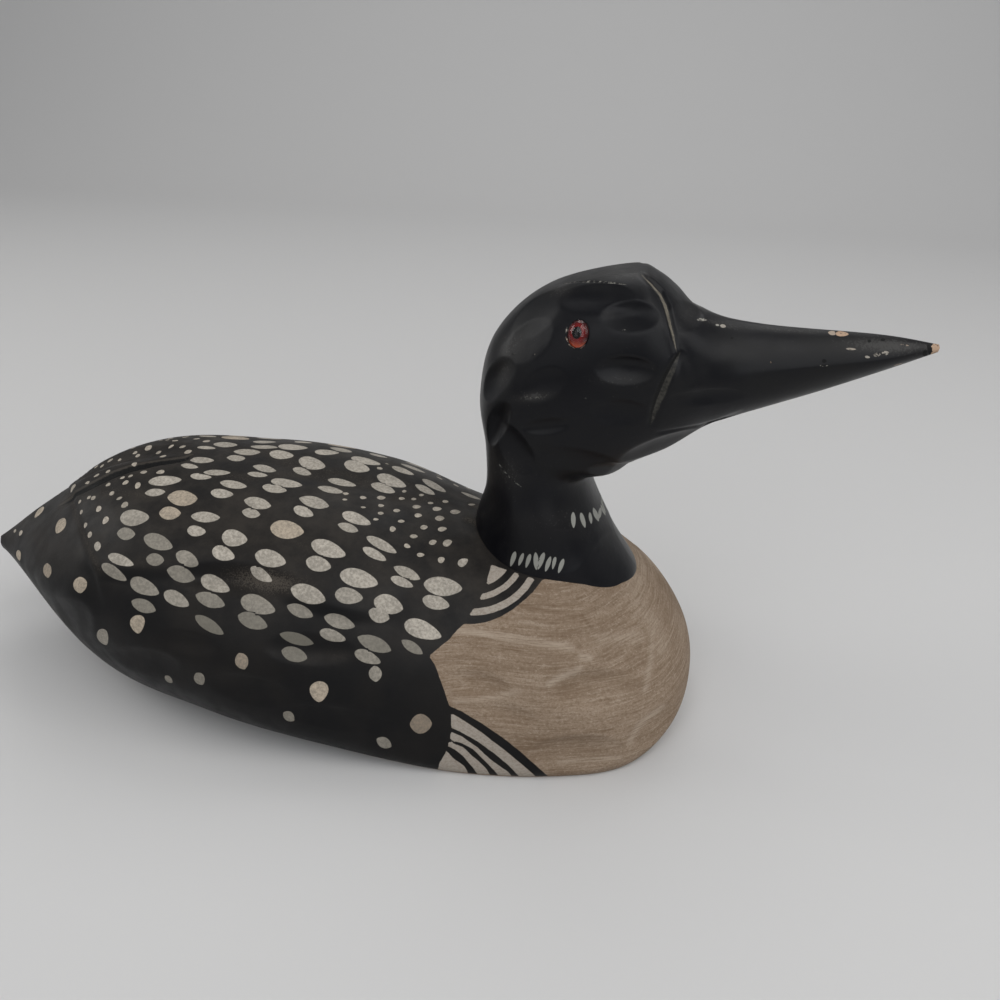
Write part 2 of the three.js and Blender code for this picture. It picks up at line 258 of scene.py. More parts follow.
class Skin:
    """The facing points of a grid, with what is needed to find a place of the picture on them."""

    def __init__(self, grid, plain):
        normal = outward(plain)
        lengthwise = np.gradient(plain, axis=0)
        lengthwise /= np.maximum(np.linalg.norm(lengthwise, axis=-1, keepdims=True), 1e-9)
        facing = faces_camera(grid, normal)
        self.points = grid[facing]
        self.normal = normal[facing]
        self.first = lengthwise[facing]
        self.second = np.cross(self.normal, self.first)
        self.place = seen(self.points)

    def find(self, x, y):
        """Nearest facing point to a picture place, moved to it in the tangent plane. Returns the
        point, its normal and the matrix from picture steps to steps on the skin."""
        k = int(np.argmin(np.hypot(self.place[:, 0] - x, self.place[:, 1] - y)))
        point, normal = self.points[k], self.normal[k]
        tangents = np.stack([self.first[k], self.second[k]], 1)
        steps = np.stack([seen(point + tangents[:, c]) - seen(point) for c in (0, 1)], 1)
        u, sizes, v = np.linalg.svd(np.linalg.inv(steps))
        to_skin = tangents @ u @ np.diag(np.minimum(sizes, LONGEST_STEP)) @ v
        return point + to_skin @ (np.array([x, y]) - seen(point)), normal, to_skin


def ovals(skin, drawn):
    """Ovals on the skin, each from its drawn middle, long and short axis and tilt: the middle,
    half of each axis carried to the skin (the second points down the picture) and the normal."""
    made = []
    for x, y, long, short, tilt in drawn:
        middle, normal, to_skin = skin.find(x, y)
        c, s = math.cos(math.radians(tilt)), math.sin(math.radians(tilt))
        half_long = to_skin @ np.array([c, s]) * long / 2
        half_short = to_skin @ np.array([-s, c]) * short / 2
        made.append([middle, half_long, half_short, normal])
    return np.array(made)


def rulers(marks):
    """The two vectors that measure a step from an oval's middle in half axes. Each is square to
    the normal and to the other axis, and is 1 over its own."""
    first, second, normal = marks[..., 1, :], marks[..., 2, :], marks[..., 3, :]
    u, v = np.cross(second, normal), np.cross(normal, first)
    u /= (u * first).sum(-1, keepdims=True)
    v /= (v * second).sum(-1, keepdims=True)
    return u, v


print("a picture step is at most", LONGEST_STEP, "mm on the skin")

# %% Scoops of the gouge


def right_side(points):
    """Points moved to the bird's right side by the mirror plane, so that both sides match."""
    return points * np.array([1, 0, 1]) - np.abs(points) * np.array([0, 1, 0])


def scoops(marks, depths, leans, points, through=10.0):
    """Depth of gouge scoops: in each oval depth times 1 - r^2, made deeper by its lean towards
    its upper side. Points further than through along the normal are left alone."""
    here = right_side(points)
    total = np.zeros(points.shape[:-1])
    for mark_here, u, v, depth, lean in zip(marks, *rulers(marks), depths, leans):
        away = here - mark_here[0]
        across, down = away @ u, away @ v
        near = np.abs(away @ mark_here[3]) < through
        bowl = np.maximum(0, 1 - across**2 - down**2) * (1 - lean * np.clip(down, -1, 1))
        total += depth * bowl * near
    return total


print("a point on the left, moved to the right side:", right_side(np.array([10.0, 5.0, 2.0])))

# %% Strokes and blots in the picture


def to_stroke(stroke, place):
    """Signed distance in the picture to a stroke of straight pieces, positive on the left of a
    stroke that runs down, and how far along the stroke the nearest point lies, from 0 to 1."""
    nearest = np.full(place.shape[:-1], np.inf)
    signed, run = np.zeros(nearest.shape), np.zeros(nearest.shape)
    for k, ((ax, ay), (bx, by)) in enumerate(zip(stroke, stroke[1:])):
        px, py = place[..., 0] - ax, place[..., 1] - ay
        dx, dy = bx - ax, by - ay
        u = np.clip((px * dx + py * dy) / (dx * dx + dy * dy), 0, 1)
        far = np.hypot(px - u * dx, py - u * dy)
        closer = far < nearest
        nearest = np.where(closer, far, nearest)
        signed = np.where(closer, np.where(dx * py - dy * px > 0, far, -far), signed)
        run = np.where(closer, (k + u) / (len(stroke) - 1), run)
    return signed, run


def blots(drawn, place):
    """The strongest of a set of soft ovals in the picture, each strength times e^-r^2."""
    most = np.zeros(place.shape[:-1])
    for x, y, long, short, tilt, strength in drawn:
        c, s = math.cos(math.radians(tilt)), math.sin(math.radians(tilt))
        px, py = place[..., 0] - x, place[..., 1] - y
        r2 = ((px * c + py * s) / (long / 2)) ** 2 + ((py * c - px * s) / (short / 2)) ** 2
        most = np.maximum(most, strength * np.exp(-r2))
    return most


def strokes_of(drawn, place):
    """The strongest of a set of soft strokes, each strength times e^-(distance / half width)^2."""
    most = np.zeros(place.shape[:-1])
    for stroke, half_width, strength in drawn:
        off, run = to_stroke(stroke, place)
        most = np.maximum(most, strength * np.exp(-((off / half_width) ** 2)))
    return most


print("a place below a level stroke is", float(to_stroke([(0, 0), (9, 0)], np.ones(2))[0]), "off it")

# %% [markdown]
# ## Carving the body
# The wings are not separate pieces: the carver dropped the tail below them with one bevelled cut,
# parted their tips with a valley and a slit, and set them off from the flanks with a long gouge
# cut. Shallow scoops of the gouge stay on the flanks and breast. Booleans would tear so fine a
# mesh. Here each cut is a depth at every point of the skin, so the cuts simply add up.

# %% Cuts on the body
WING_STEP = 1.4
STEP_SLOPE = 4
WING_SWEEP = 0.67
WING_TIP = 0.124
RUMP_VALLEY_DEPTH = 3
RUMP_VALLEY_HALF_WIDTH = 9
BACK_VALLEY_DEPTH = 2
BACK_VALLEY_HALF_WIDTH = 14
FLANK_DROP = 2.2
WING_EDGE = [0.742, 0.778, 0.804, 0.81, 0.742, 0.686, 0.66]
WING_EDGE_RUN = (0.25, 0.63)
WING_EDGE_BEVEL = (-2, 3)
FLANK_FADE = (10, 34)
TAIL_STEP_STRETCH = (0.03, 0.13)
RUMP_VALLEY_STRETCH = (0.1, 0.17, 0.21, 0.31)
BACK_VALLEY_STRETCH = (0.34, 0.46, 0.54, 0.66)
WING_EDGE_STRETCH = (0.2, 0.27, 0.55, 0.68)
UPPER_SIDE = (0.55, 0.75)

# scoops in the picture: middle, long and short axis and tilt, then depth in mm and lean
BODY_SCOOPS = [
    (236, 580, 138, 36, 6, 3.0, 0.6),
    (72, 620, 52, 32, 48, 1.6, 0.3),
    (141, 662, 76, 26, 14, 1.5, 0.5),
    (250, 690, 88, 30, 12, 1.4, 0.4),
    (336, 718, 118, 24, 9, 1.2, 0.3),
    (309, 650, 92, 30, 3, 1.4, -0.5),
    (186, 645, 60, 24, 10, 1.0, 0.3),
    (592, 690, 100, 42, -6, 2.6, 0.5),
    (576, 755, 100, 38, -4, 2.4, 0.5),
    (478, 684, 66, 28, 10, 1.8, 0.2),
    (548, 612, 76, 22, 3, 1.1, 0.4),
    (655, 728, 64, 28, -42, 1.4, 0.2),
    (626, 645, 64, 50, 60, 1.3, 0.2),
    (510, 716, 60, 24, 15, 1.0, 0.3),
    (610, 600, 60, 44, 20, 0.9, 0.2),
]


def body_cuts(p):
    """Depth of the drawn cuts at points of the plain body."""
    x, y, z = p[..., 0], p[..., 1], p[..., 2]
    share, off = x / BODY_LENGTH, np.abs(y)
    from_wing_end = x - WING_TIP * BODY_LENGTH - WING_SWEEP * off
    tail_side = 1 - rise(-STEP_SLOPE, 0, from_wing_end)
    step = WING_STEP * tail_side * rise(*TAIL_STEP_STRETCH, share)
    rump = RUMP_VALLEY_DEPTH * over(RUMP_VALLEY_STRETCH, share) * vee(off, RUMP_VALLEY_HALF_WIDTH)
    valley = BACK_VALLEY_DEPTH * over(BACK_VALLEY_STRETCH, share)
    valley = valley * np.exp(-((off / BACK_VALLEY_HALF_WIDTH) ** 2))
    edge_t = (share - WING_EDGE_RUN[0]) / (WING_EDGE_RUN[1] - WING_EDGE_RUN[0])
    below = along(WING_EDGE, edge_t) * BACK_HEIGHT - z
    drop = rise(*WING_EDGE_BEVEL, below) * (1 - rise(*FLANK_FADE, below))
    flank = FLANK_DROP * drop * over(WING_EDGE_STRETCH, share)
    return (step + rump + valley) * rise(*UPPER_SIDE, z / BACK_HEIGHT) + flank


# the slit where the left wing's tip laps over the right one, as it shows in the picture
LAP = [
    (57, 504), (75, 493), (96, 482), (112, 474), (130, 467.5), (160, 461), (184, 458), (193, 454.5),
]
LAP_DEPTH = 2.2
LAP_WALLS = (5.5, 2.0)  # the sunk wing's slope below the slit and the upper wing's steep edge
LAP_REACH = 2  # how far past the middle plane the slit may run on the left side


def knife_cut(stroke, walls, depth, place):
    """Depth of a cut with two sloping walls, which runs out to nothing at both ends by the root
    of the sine along it; also its signed distance and its taper."""
    off, run = to_stroke(stroke, place)
    taper = np.sqrt(np.maximum(np.sin(np.pi * np.clip(run, 0.0, 1.0)), 0))
    wall = np.where(off > 0, walls[0], walls[1])
    return depth * taper * vee(np.abs(off), wall), off, taper


plain_skin = Skin(plain_body, plain_body)
body_scoops = ovals(plain_skin, [row[:5] for row in BODY_SCOOPS])
body_depth = body_cuts(plain_body)
body_depth += scoops(body_scoops, *zip(*(row[5:] for row in BODY_SCOOPS)), plain_body)
lap_cut, lap_off, lap_taper = knife_cut(LAP, LAP_WALLS, LAP_DEPTH, seen(plain_body))
body_up = outward(plain_body)
lapped = (plain_body[..., 1] < LAP_REACH) & faces_camera(plain_body, body_up)
body_depth += lap_cut * lapped
body_depth[0] = 0
body_grid = plain_body - body_up * body_depth[..., None]
print("deepest cut on the body", body_depth.max().round(1), "mm")

# %% [markdown]
# ## From rings to a mesh
# A skin is a grid of rings with a pole at each end. It could be lofted from curves, but filling
# the mesh's arrays whole is quicker, and it numbers the faces in a known order, so that what the
# paint needs can be kept on them.

# %% Put a skin into a mesh


def skin_mesh(name, grid, first, last):
    """A closed mesh from a grid of rings: quads between rings and a fan to a pole at each end.
    Faces are numbered ring by ring, then the first fan, then the last."""
    rings, around = grid.shape[:2]
    points = np.concatenate([grid.reshape(-1, 3), [first, last]])
    at = np.arange(rings * around).reshape(rings, around)
    beside = np.roll(at, -1, 1)
    quads = np.stack([at[:-1], beside[:-1], beside[1:], at[1:]], -1).reshape(-1)
    low = np.stack([np.full(around, rings * around), beside[0], at[0]], -1).reshape(-1)
    high = np.stack([at[-1], beside[-1], np.full(around, rings * around + 1)], -1).reshape(-1)
    corners = np.concatenate([quads, low, high]).astype(np.int32)
    sizes = np.repeat([4, 3], [(rings - 1) * around, 2 * around])
    mesh = bpy.data.meshes.new(name)
    mesh.vertices.add(len(points))
    mesh.vertices.foreach_set("co", to_metres(points).astype(np.float32).reshape(-1))
    mesh.loops.add(len(corners))
    mesh.loops.foreach_set("vertex_index", corners)
    mesh.polygons.add(len(sizes))
    mesh.polygons.foreach_set("loop_start", (np.cumsum(sizes) - sizes).astype(np.int32))
    mesh.polygons.foreach_set("loop_total", sizes.astype(np.int32))
    mesh.polygons.foreach_set("use_smooth", np.ones(len(sizes), bool))
    mesh.update(calc_edges=True)
    mesh.validate()
    piece = bpy.data.objects.new(name, mesh)
    bpy.context.scene.collection.objects.link(piece)
    return piece


def face_middles(grid, first, last):
    """Middles of the faces of skin_mesh, in its order."""
    beside = np.roll(grid, -1, 1)
    quads = (grid[:-1] + beside[:-1] + beside[1:] + grid[1:]) / 4
    low = (grid[0] + beside[0] + first) / 3
    high = (grid[-1] + beside[-1] + last) / 3
    return np.concatenate([quads.reshape(-1, 3), low, high])


def mark(piece, name, values, kind="FLOAT", domain="POINT"):
    """Keeps an array on the piece's points or faces for its paint to read."""
    layer = piece.data.attributes.new(name, kind, domain)
    field = "vector" if kind == "FLOAT_VECTOR" else "value"
    layer.data.foreach_set(field, np.asarray(values, np.float32).reshape(-1))


def with_ends(values, first, last):
    """Values of a grid in the order of its mesh, with those of the two poles."""
    return np.concatenate([values.reshape(-1), [first, last]])


body_ends = body_grid[0].mean(0), body_skin(np.array(1.0), np.array(0.25))
body = skin_mesh("carved_body", body_grid, *body_ends)
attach(body, "root")
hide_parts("body")
print("body mesh:", len(body.data.polygons), "faces")

# %% [markdown]
# ## The head
# Neck, head and bill are one piece, drawn as ribs: each rib joins a point on the nape or crown to
# a point on the throat. The neck's foot is fitted to the back: every line of the skin starts
# where it meets the body, so that the joint is a true one and shows as a fine seam.

# %% Plain head
HEAD_LENGTH = 174
HEAD_HEIGHT = 121
HEAD_WIDTH = 65
NECK_SEAT = 0.807
SEAT_DEPTH = 6.5
# nape x and z, throat x and z, half width, rounding
RIBS = np.array([
    (-0.21, -0.07, 0.217, -0.245, 1.07, 2),
    (-0.198, 0.097, 0.201, -0.081, 1.006, 2),
    (-0.176, 0.223, 0.12, 0.111, 0.963, 2),
    (-0.179, 0.377, 0.075, 0.287, 0.871, 2),
    (-0.194, 0.554, 0.14, 0.324, 0.923, 2.1),
    (-0.163, 0.756, 0.177, 0.365, 0.957, 2.2),
    (-0.05, 0.92, 0.251, 0.421, 0.948, 2.2),
    (0.125, 0.999, 0.326, 0.505, 0.905, 2.2),
    (0.194, 0.977, 0.38, 0.537, 0.732, 2.2),
    (0.295, 0.874, 0.469, 0.581, 0.526, 1.9),
    (0.423, 0.841, 0.568, 0.635, 0.385, 1.6),
    (0.674, 0.832, 0.68, 0.707, 0.234, 1.5),
    (0.803, 0.812, 0.803, 0.79, 0.037, 1.7),
])
seat_x = NECK_SEAT * BODY_LENGTH
seat_z = float(back_height(seat_x, 0.0)) - SEAT_DEPTH


def head_skin(t, s):
    """The plain head. Each rib is a superellipse spanned from throat to nape and to both sides."""
    nape_x, nape_z, throat_x, throat_z, half, rounding = (along(RIBS[:, k], t) for k in range(6))
    out, high = oval(2 * np.pi * s, rounding)
    x = seat_x + ((nape_x + throat_x) + (nape_x - throat_x) * high) / 2 * HEAD_LENGTH
    z = seat_z + ((nape_z + throat_z) + (nape_z - throat_z) * high) / 2 * HEAD_HEIGHT
    return np.stack([x, half * HEAD_WIDTH / 2 * out, z], -1)


HEAD_RINGS = 370
HEAD_AROUND = 262
SUNK = 2  # how far the skin runs on below the body's surface
FOOT_SEARCH = (0.0, 0.3, 600)


def foot_of_neck(s):
    """For each line of the skin, the t at which it is SUNK below the back: the first place where
    height over the back passes -SUNK, found between two close samples."""
    t = np.linspace(*FOOT_SEARCH)[:, None]
    p = head_skin(t, s[None])
    clear = p[..., 2] - back_height(p[..., 0], p[..., 1]) + SUNK
    crossing = np.argmax(clear > 0, axis=0)
    j = np.arange(len(s))
    before, after = clear[crossing - 1, j], clear[crossing, j]
    return t[crossing - 1, 0] + (t[1, 0] - t[0, 0]) * before / (before - after)


head_s = np.arange(HEAD_AROUND) / HEAD_AROUND
foot = foot_of_neck(head_s)
head_run = (np.arange(HEAD_RINGS) / HEAD_RINGS)[:, None]
plain_head = head_skin(foot + (1 - foot) * head_run, head_s + 0 * head_run)
print("neck foot between t", foot.min().round(3), "and", foot.max().round(3))

# %% [markdown]
# ## Carving the head
# The cheeks and nape keep the gouge's scoops, each steep where the tool went in at the top and
# shallow where it came out. A knife cut in two strokes marks the bill's base, and another is the
# mouth. Sculpting by hand would suit them too, but drawn ovals and strokes can be moved by a
# pixel and compared again.

# %% Cuts on the head
HEAD_SCOOPS = [
    (630, 316, 61, 34, 1, 2.4, 0.5),
    (626, 371, 62, 31, 2, 2.6, 0.5),
    (620, 413, 61, 28, 0, 1.5, 0.3),
    (529, 340, 55, 36, -45, 1.0, 0.2),
    (543, 385, 48, 31, -30, 1.4, 0.2),
    (495, 380, 47, 24, -62, 2.3, 0.4),
    (496, 425, 47, 20, -68, 3.0, 0.3),
    (546, 426, 52, 17, -7, 1.4, -0.4),
    (514, 450, 60, 28, 58, 1.6, 0.3),
    (572, 469, 98, 40, 4, 1.1, 0.4),
    (596, 298, 76, 32, -2, 1.5, 0.5),
    (536, 312, 64, 30, -42, 0.9, 0.4),
    (660, 446, 84, 13, -22, 1.3, 0.3),
    (612, 470, 44, 12, -14, 1.2, 0.3),
    (688, 315, 32, 30, 30, 1.0, 0.3),
    (706, 397, 76, 18, -7, 1.0, 0.4),
    (618, 556, 46, 54, 0, 0.8, 0.0),
    (558, 552, 64, 46, 0, 0.9, 0.0),
]
CROWN_FLAT_DEPTH = 0.7
CROWN_FLAT_STRETCH = (0.47, 0.54, 0.59, 0.64)  # from the neck's foot to the bill tip
GROOVE_DEPTH = 1.5
# the two strokes of the groove, each with the widths of its left and right walls in the picture
UPPER_GROOVE = [(640, 272), (653, 281), (663, 291), (669, 303), (673, 318), (676, 334), (678, 354)]
UPPER_WALLS = (6.8, 2.0)
LOWER_GROOVE = [(681, 350), (674, 362), (665, 379), (657, 398), (652, 413), (650, 427)]
LOWER_WALLS = (4.0, 8.0)
LOWER_SHADE = (-1.2, 3.6)  # the painted shadow of the lower stroke, from its right to its left side
MOUTH = [(655, 433.5), (680, 430), (700, 426.5), (719, 421), (745, 411)]
MOUTH_WALLS = (1.6, 3.0)
MOUTH_DEPTH = 0.8
MOUTH_FADE = 3  # how much the mouth line narrows towards its ends
AWAY = 99  # stands for a place far from every cut

head_skin_plain = Skin(plain_head, plain_head)
head_scoops = ovals(head_skin_plain, [row[:5] for row in HEAD_SCOOPS])
head_depth = scoops(head_scoops, *zip(*(row[5:] for row in HEAD_SCOOPS)), plain_head)
head_place = seen(right_side(plain_head))
to_right = np.where(plain_head[..., 1:2] > 0, [1, -1, 1], 1)
head_up = outward(plain_head)
facing = faces_camera(right_side(plain_head), head_up * to_right)
upper_cut, upper_off, upper_taper = knife_cut(UPPER_GROOVE, UPPER_WALLS, GROOVE_DEPTH, head_place)
lower_cut, lower_off, lower_taper = knife_cut(LOWER_GROOVE, LOWER_WALLS, GROOVE_DEPTH, head_place)
mouth_cut, mouth_off, mouth_taper = knife_cut(MOUTH, MOUTH_WALLS, MOUTH_DEPTH, head_place)
head_depth += (np.maximum(upper_cut, lower_cut) + mouth_cut) * facing
over_flat = plain_head[..., 2] - plain_head[..., 2].max(1, keepdims=True) + CROWN_FLAT_DEPTH
head_depth += over(CROWN_FLAT_STRETCH, foot + (1 - foot) * head_run) * np.maximum(over_flat, 0)
head_grid = plain_head - head_up * head_depth[..., None]
head_ends = head_grid[0].mean(0), head_skin(np.array(1.0), np.array([0.25, 0.75])).mean(0)
head = skin_mesh("carved_head", head_grid, *head_ends)
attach(head, "root")
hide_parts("head")
print("head mesh:", len(head.data.polygons), "faces")

hidden = AWAY * (1 - facing)
mark(head, "upper_off", with_ends(upper_off + hidden, AWAY, AWAY))
mark(head, "upper_wall", with_ends(UPPER_WALLS[0] * upper_taper, 0, 0))
mark(head, "lower_off", with_ends(lower_off + hidden, AWAY, AWAY))
mark(head, "lower_wall", with_ends(LOWER_WALLS[1] * lower_taper, 0, 0))
shade = np.minimum(lower_off - LOWER_SHADE[0], LOWER_SHADE[1] * lower_taper - lower_off)
mark(head, "lower_shade", with_ends(shade - hidden, -AWAY, -AWAY))
mouth_line = np.abs(mouth_off) + MOUTH_FADE * (1 - mouth_taper)
mark(head, "mouth_off", with_ends(mouth_line + hidden, AWAY, AWAY))

# %% [markdown]
# ## Painting marks
# Spots and necklace strokes were set down with a brush, each a little different. A mark is an
# oval on the skin. Every face of the mesh keeps the nearest mark: its middle and the two rulers
# that measure a place in half axes, so the paint can draw a crisp edge inside a single face.

# %% Keep the nearest mark on every face


def mirrored(marks):
    """The same marks on the other side of the middle plane."""
    return marks * np.array([1, -1, 1])


def spread(piece, marks, tones, warmth, middles, thickness=6.0, reach=2.2):
    """Gives every face its nearest mark. Distance is counted in half axes, and in thicknesses
    along the normal so that no mark shows through the wood."""
    u, v = rulers(marks)
    best = np.full(len(middles), np.inf)
    pick = np.zeros(len(middles), int)
    for k, (middle, first, second, normal) in enumerate(marks):
        away = middles - middle
        r = (away @ u[k]) ** 2 + (away @ v[k]) ** 2 + (away @ normal / thickness) ** 2
        nearer = r < best
        best[nearer] = r[nearer]
        pick[nearer] = k
    mark(piece, "mark_middle", to_metres(marks[pick, 0]), "FLOAT_VECTOR", "FACE")
    mark(piece, "mark_long", u[pick] / MM, "FLOAT_VECTOR", "FACE")
    mark(piece, "mark_short", v[pick] / MM, "FLOAT_VECTOR", "FACE")
    near = (best < reach**2) * 1.0
    looks = np.stack([near, tones[pick], warmth[pick]], -1)
    mark(piece, "mark_look", looks, "FLOAT_VECTOR", "FACE")


print("faces to mark: body", len(body.data.polygons), "head", len(head.data.polygons))

# %% [markdown]
# ## Spots of the back
# The spots of a loon's back come in pairs, a large one and a smaller one tucked below it, in rows
# that follow the wing. Small dots fill the wing tips and the saddle before the neck, and a few
# warmer single spots stand on the flank and tail. A rule could lay out the rows, but these were
# set down by hand and wander, so each one is drawn.

# %% Spots of the back
# picture place, long and short axis and tilt of each spot
SPOTS = [
    # along the ridge
    (225.5, 444.5, 24, 7, 2), (264.5, 442, 23, 5.5, 0), (247, 452, 27, 6.5, 0),
    (236, 458, 18.5, 6, 0), (293, 447, 29.5, 8, 5), (281.5, 454.5, 24, 8, 5),
    (312, 463.5, 27, 10, 12), (302, 471.5, 19, 7, 15), (202, 460, 24, 6, 2),
    (189.5, 466, 17.5, 5, 8), (217, 472.5, 27, 5.5, 0), (201, 476.5, 21, 6, 4),
    (264.5, 468.5, 23.5, 7, 8), (257.5, 474.5, 20, 5.5, 3), (327, 452, 24, 6.5, 3),
    (341, 450, 23, 7, 16), (378.5, 455.5, 18.5, 5, 18), (366, 461, 30, 7, 14),
    (357, 466.5, 26, 9, 14), (403, 470.5, 23.5, 5.5, 22), (413, 468, 26, 4.5, 22),
    # upper wing
    (233.5, 484.5, 27, 8, 8), (222, 493.5, 22.5, 9, 5), (286.5, 483, 31.5, 9.5, 8),
    (274.5, 488.5, 24.5, 9, 10), (165, 480.5, 33, 9.5, -4), (155, 492.3, 20.5, 7.5, -4),
    (342, 482.5, 28.5, 7.5, 12), (330.5, 489.5, 26, 7.5, 12), (391.5, 481, 31, 9.5, 22),
    (383, 488, 25.5, 9, 22), (434, 485.5, 27, 6.5, 30), (425, 489.5, 22, 6, 28),
    (471, 496, 21, 4, 22), (257.5, 503, 27.5, 11.5, 12), (251, 513, 18.5, 9.5, 10),
    (314, 502, 31, 11.5, 15), (303.5, 511.5, 21, 10, 20), (205.5, 517, 29, 10.5, 3),
    (196.5, 531, 18.5, 10.5, 6), (356.5, 518.5, 30, 11, 20), (348, 527.5, 21.5, 8.5, 18),
    # middle of the wing
    (134.5, 517.5, 29, 16, -3), (126, 533.7, 18, 12.5, 2), (234.5, 538, 25.5, 16.5, 8),
    (223.5, 553.5, 23.5, 14, 20), (328.5, 549, 36, 16, 20), (318.5, 564, 26, 15, 15),
    (381.5, 544.5, 34, 9.5, 28), (374.5, 554, 26.5, 9, 28), (158, 542, 30.5, 15.5, 20),
    (155, 559.5, 18, 12.5, 5), (187, 558.5, 24, 14, 25), (181, 574.5, 26, 15, 15),
    (270.5, 558.5, 31.5, 17, 15), (261.5, 575, 24, 10, 30), (407, 573, 29, 10.5, 25),
    (402, 582, 24, 9, 22), (359, 578.5, 39, 18, 15), (349, 596, 28, 16, 10),
    (443, 586.5, 38.5, 18.5, 8), (436, 602.5, 27.5, 14, 15), (120.5, 560, 27, 10.5, 20),
    (113, 572, 26, 11.5, 35),
    # flank
    (144.5, 587, 31, 15.5, 25), (143.5, 606, 26, 13, 22), (176.5, 599, 28, 14, 28),
    (215.5, 584.5, 31, 15.5, 25), (210, 600, 31, 14.5, 20), (258, 605, 36, 18, 20),
    (252.5, 621, 31.5, 15.5, 22), (308, 594, 37, 18, 20), (300, 611, 28, 12.5, 22),
    (388.5, 604.5, 30, 19, 18), (379, 615, 22, 15, 20), (339.5, 621.7, 32, 13.5, 18),
    (332.7, 635.7, 27, 11.5, 18), (423, 630, 38.5, 17.5, 21), (412, 647, 25, 10, 33),
    (296.7, 638.8, 35, 12, 17), (294.5, 654.3, 26.5, 13, 18), (209, 625, 34, 11.5, 32),
    (374.3, 643.8, 36, 15, 22), (367.8, 657.3, 27.5, 12, 22), (288.7, 716.8, 13.5, 8.5, 35),
    (384, 742.8, 16.5, 10.5, 28), (168.6, 679.4, 10, 5.5, 40), (375.3, 673.8, 16, 13, 85),
    (102.8, 637.5, 16.5, 9.5, 60), (199.4, 678.9, 13.5, 10.5, 60), (463, 562.2, 11, 7.5, -30),
    (97.4, 546.3, 9.7, 6.5, 100),
]
WARM_SPOTS = [
    (182.5, 498, 30, 15.5, 3), (170, 513, 21.5, 13, 0), (287, 529.5, 33.5, 18, 8),
    (137.5, 624.4, 18, 14, 80), (80, 585, 16.5, 11.7, 85), (241.7, 661.4, 17, 13, 68),
    (319, 692, 20, 18, 90), (421, 724, 22, 19.5, 0), (60.3, 525.7, 17, 9, 118),
    (18.6, 555.3, 11, 6.5, 75), (47.2, 570.5, 15, 7.5, 82), (39, 512, 14, 7, 125),
]
DOTS = [
    # wing tips
    (72.6, 488, 9.5, 5, 130), (87.4, 482.6, 5, 2.5, 155), (90.7, 475.3, 4, 1.7, 145),
    (96.4, 475.4, 6.5, 2, 150), (107.9, 471.4, 5.5, 2.4, 148), (96, 466.4, 5, 2, 150),
    (102, 466.1, 5, 2, 150), (110, 460.3, 7, 2, 160), (119.6, 460, 4, 1.8, 160),
    (135, 452.7, 5, 1.9, 165), (137.9, 455.9, 5.2, 2.2, 165), (134.3, 463.7, 5.7, 2.7, 160),
    (148.3, 447.7, 7.8, 4.5, 155), (158.6, 452.6, 6, 2.2, 165), (162.9, 456.1, 7.3, 2.8, 170),
    (171, 446.3, 6.4, 2.3, 150), (182.6, 446.7, 7, 2.3, 165), (188, 451.7, 8, 3.5, 165),
    (196.4, 438.9, 7, 1.9, 172), (206.4, 441.4, 8, 3, 170), (143.6, 472, 6.8, 3, 170),
    (160.3, 472, 8.5, 3.7, 168), (130.4, 476, 5.3, 2, 155), (122.4, 477.6, 5, 2.2, 155),
    (125.4, 482.6, 7, 3.4, 152), (137.7, 485.4, 7.3, 5, 125), (108, 484.6, 5.5, 2.8, 150),
    (111.7, 493.3, 6, 3.5, 145), (119.3, 498.3, 6.5, 2.5, 155), (93.3, 497.9, 5.5, 3.3, 140),
    (88.9, 497.4, 5, 2.5, 140), (79.7, 501.7, 4.5, 2, 120), (81.1, 512, 5, 2.7, 115),
    (98.6, 508.9, 6.8, 4.5, 125), (105.4, 520.4, 8.5, 5, 125), (85.3, 525.3, 5.7, 3, 110),
    (89.7, 534.7, 6.8, 4, 110), (124.6, 504.9, 8, 5, 145), (58.6, 492.4, 5, 2.2, 135),
    (20.5, 533, 6, 4, 110), (15, 531, 4, 3, 110), (345.8, 493.7, 6, 3, 0), (345, 499.5, 5, 2, 0),
    # saddle before the neck
    (363.3, 497.5, 6.5, 3.5, 5), (363.3, 507.2, 5, 2, 5), (381.2, 497.5, 9, 4.5, 0),
    (381.2, 505.5, 6, 3, 0), (380.8, 513.2, 6, 3, 0), (375.7, 519.3, 6, 2.5, 0),
    (404.2, 491.3, 4.5, 2.7, 0), (401.8, 498.5, 6, 3, 0), (413.8, 499, 5, 2.5, 0),
    (421.5, 495, 5, 2.3, 0), (416.7, 506.7, 8.5, 3.7, 0), (430.7, 503, 5.5, 2.3, 5),
    (437.2, 508.8, 9, 4, 0), (445.5, 501.5, 6, 2.7, 5), (418.3, 515.3, 7.5, 4, 0),
    (396.7, 510.5, 7, 3.5, 0), (401.3, 521.2, 7, 3, 0), (392.8, 529, 6, 5.5, 0),
    (424, 527.2, 7.5, 4.5, -5), (413.8, 536.3, 8, 4, 0), (407.3, 546, 6.5, 4, 20),
    (420.7, 554.8, 7.5, 4, 0), (441.3, 559.8, 7, 6, -25), (432.8, 542.3, 8, 5, -15),
    (447.5, 542.8, 9.5, 6.5, -20), (442.3, 529, 9, 4.5, -8), (439.7, 518.2, 9.5, 5, 0),
    (455.3, 511.8, 10.5, 4.3, 0), (471.7, 504.5, 7, 1.9, 0),
]
CLEARANCE = 8  # mirrored spots keep this far from those already there
MIDDLE_STRIP = 4  # spots this near the middle plane have no twin on the left
WARMTHS = (0.0, 1.0, 0.3)  # of the spots, the warm spots and the dots
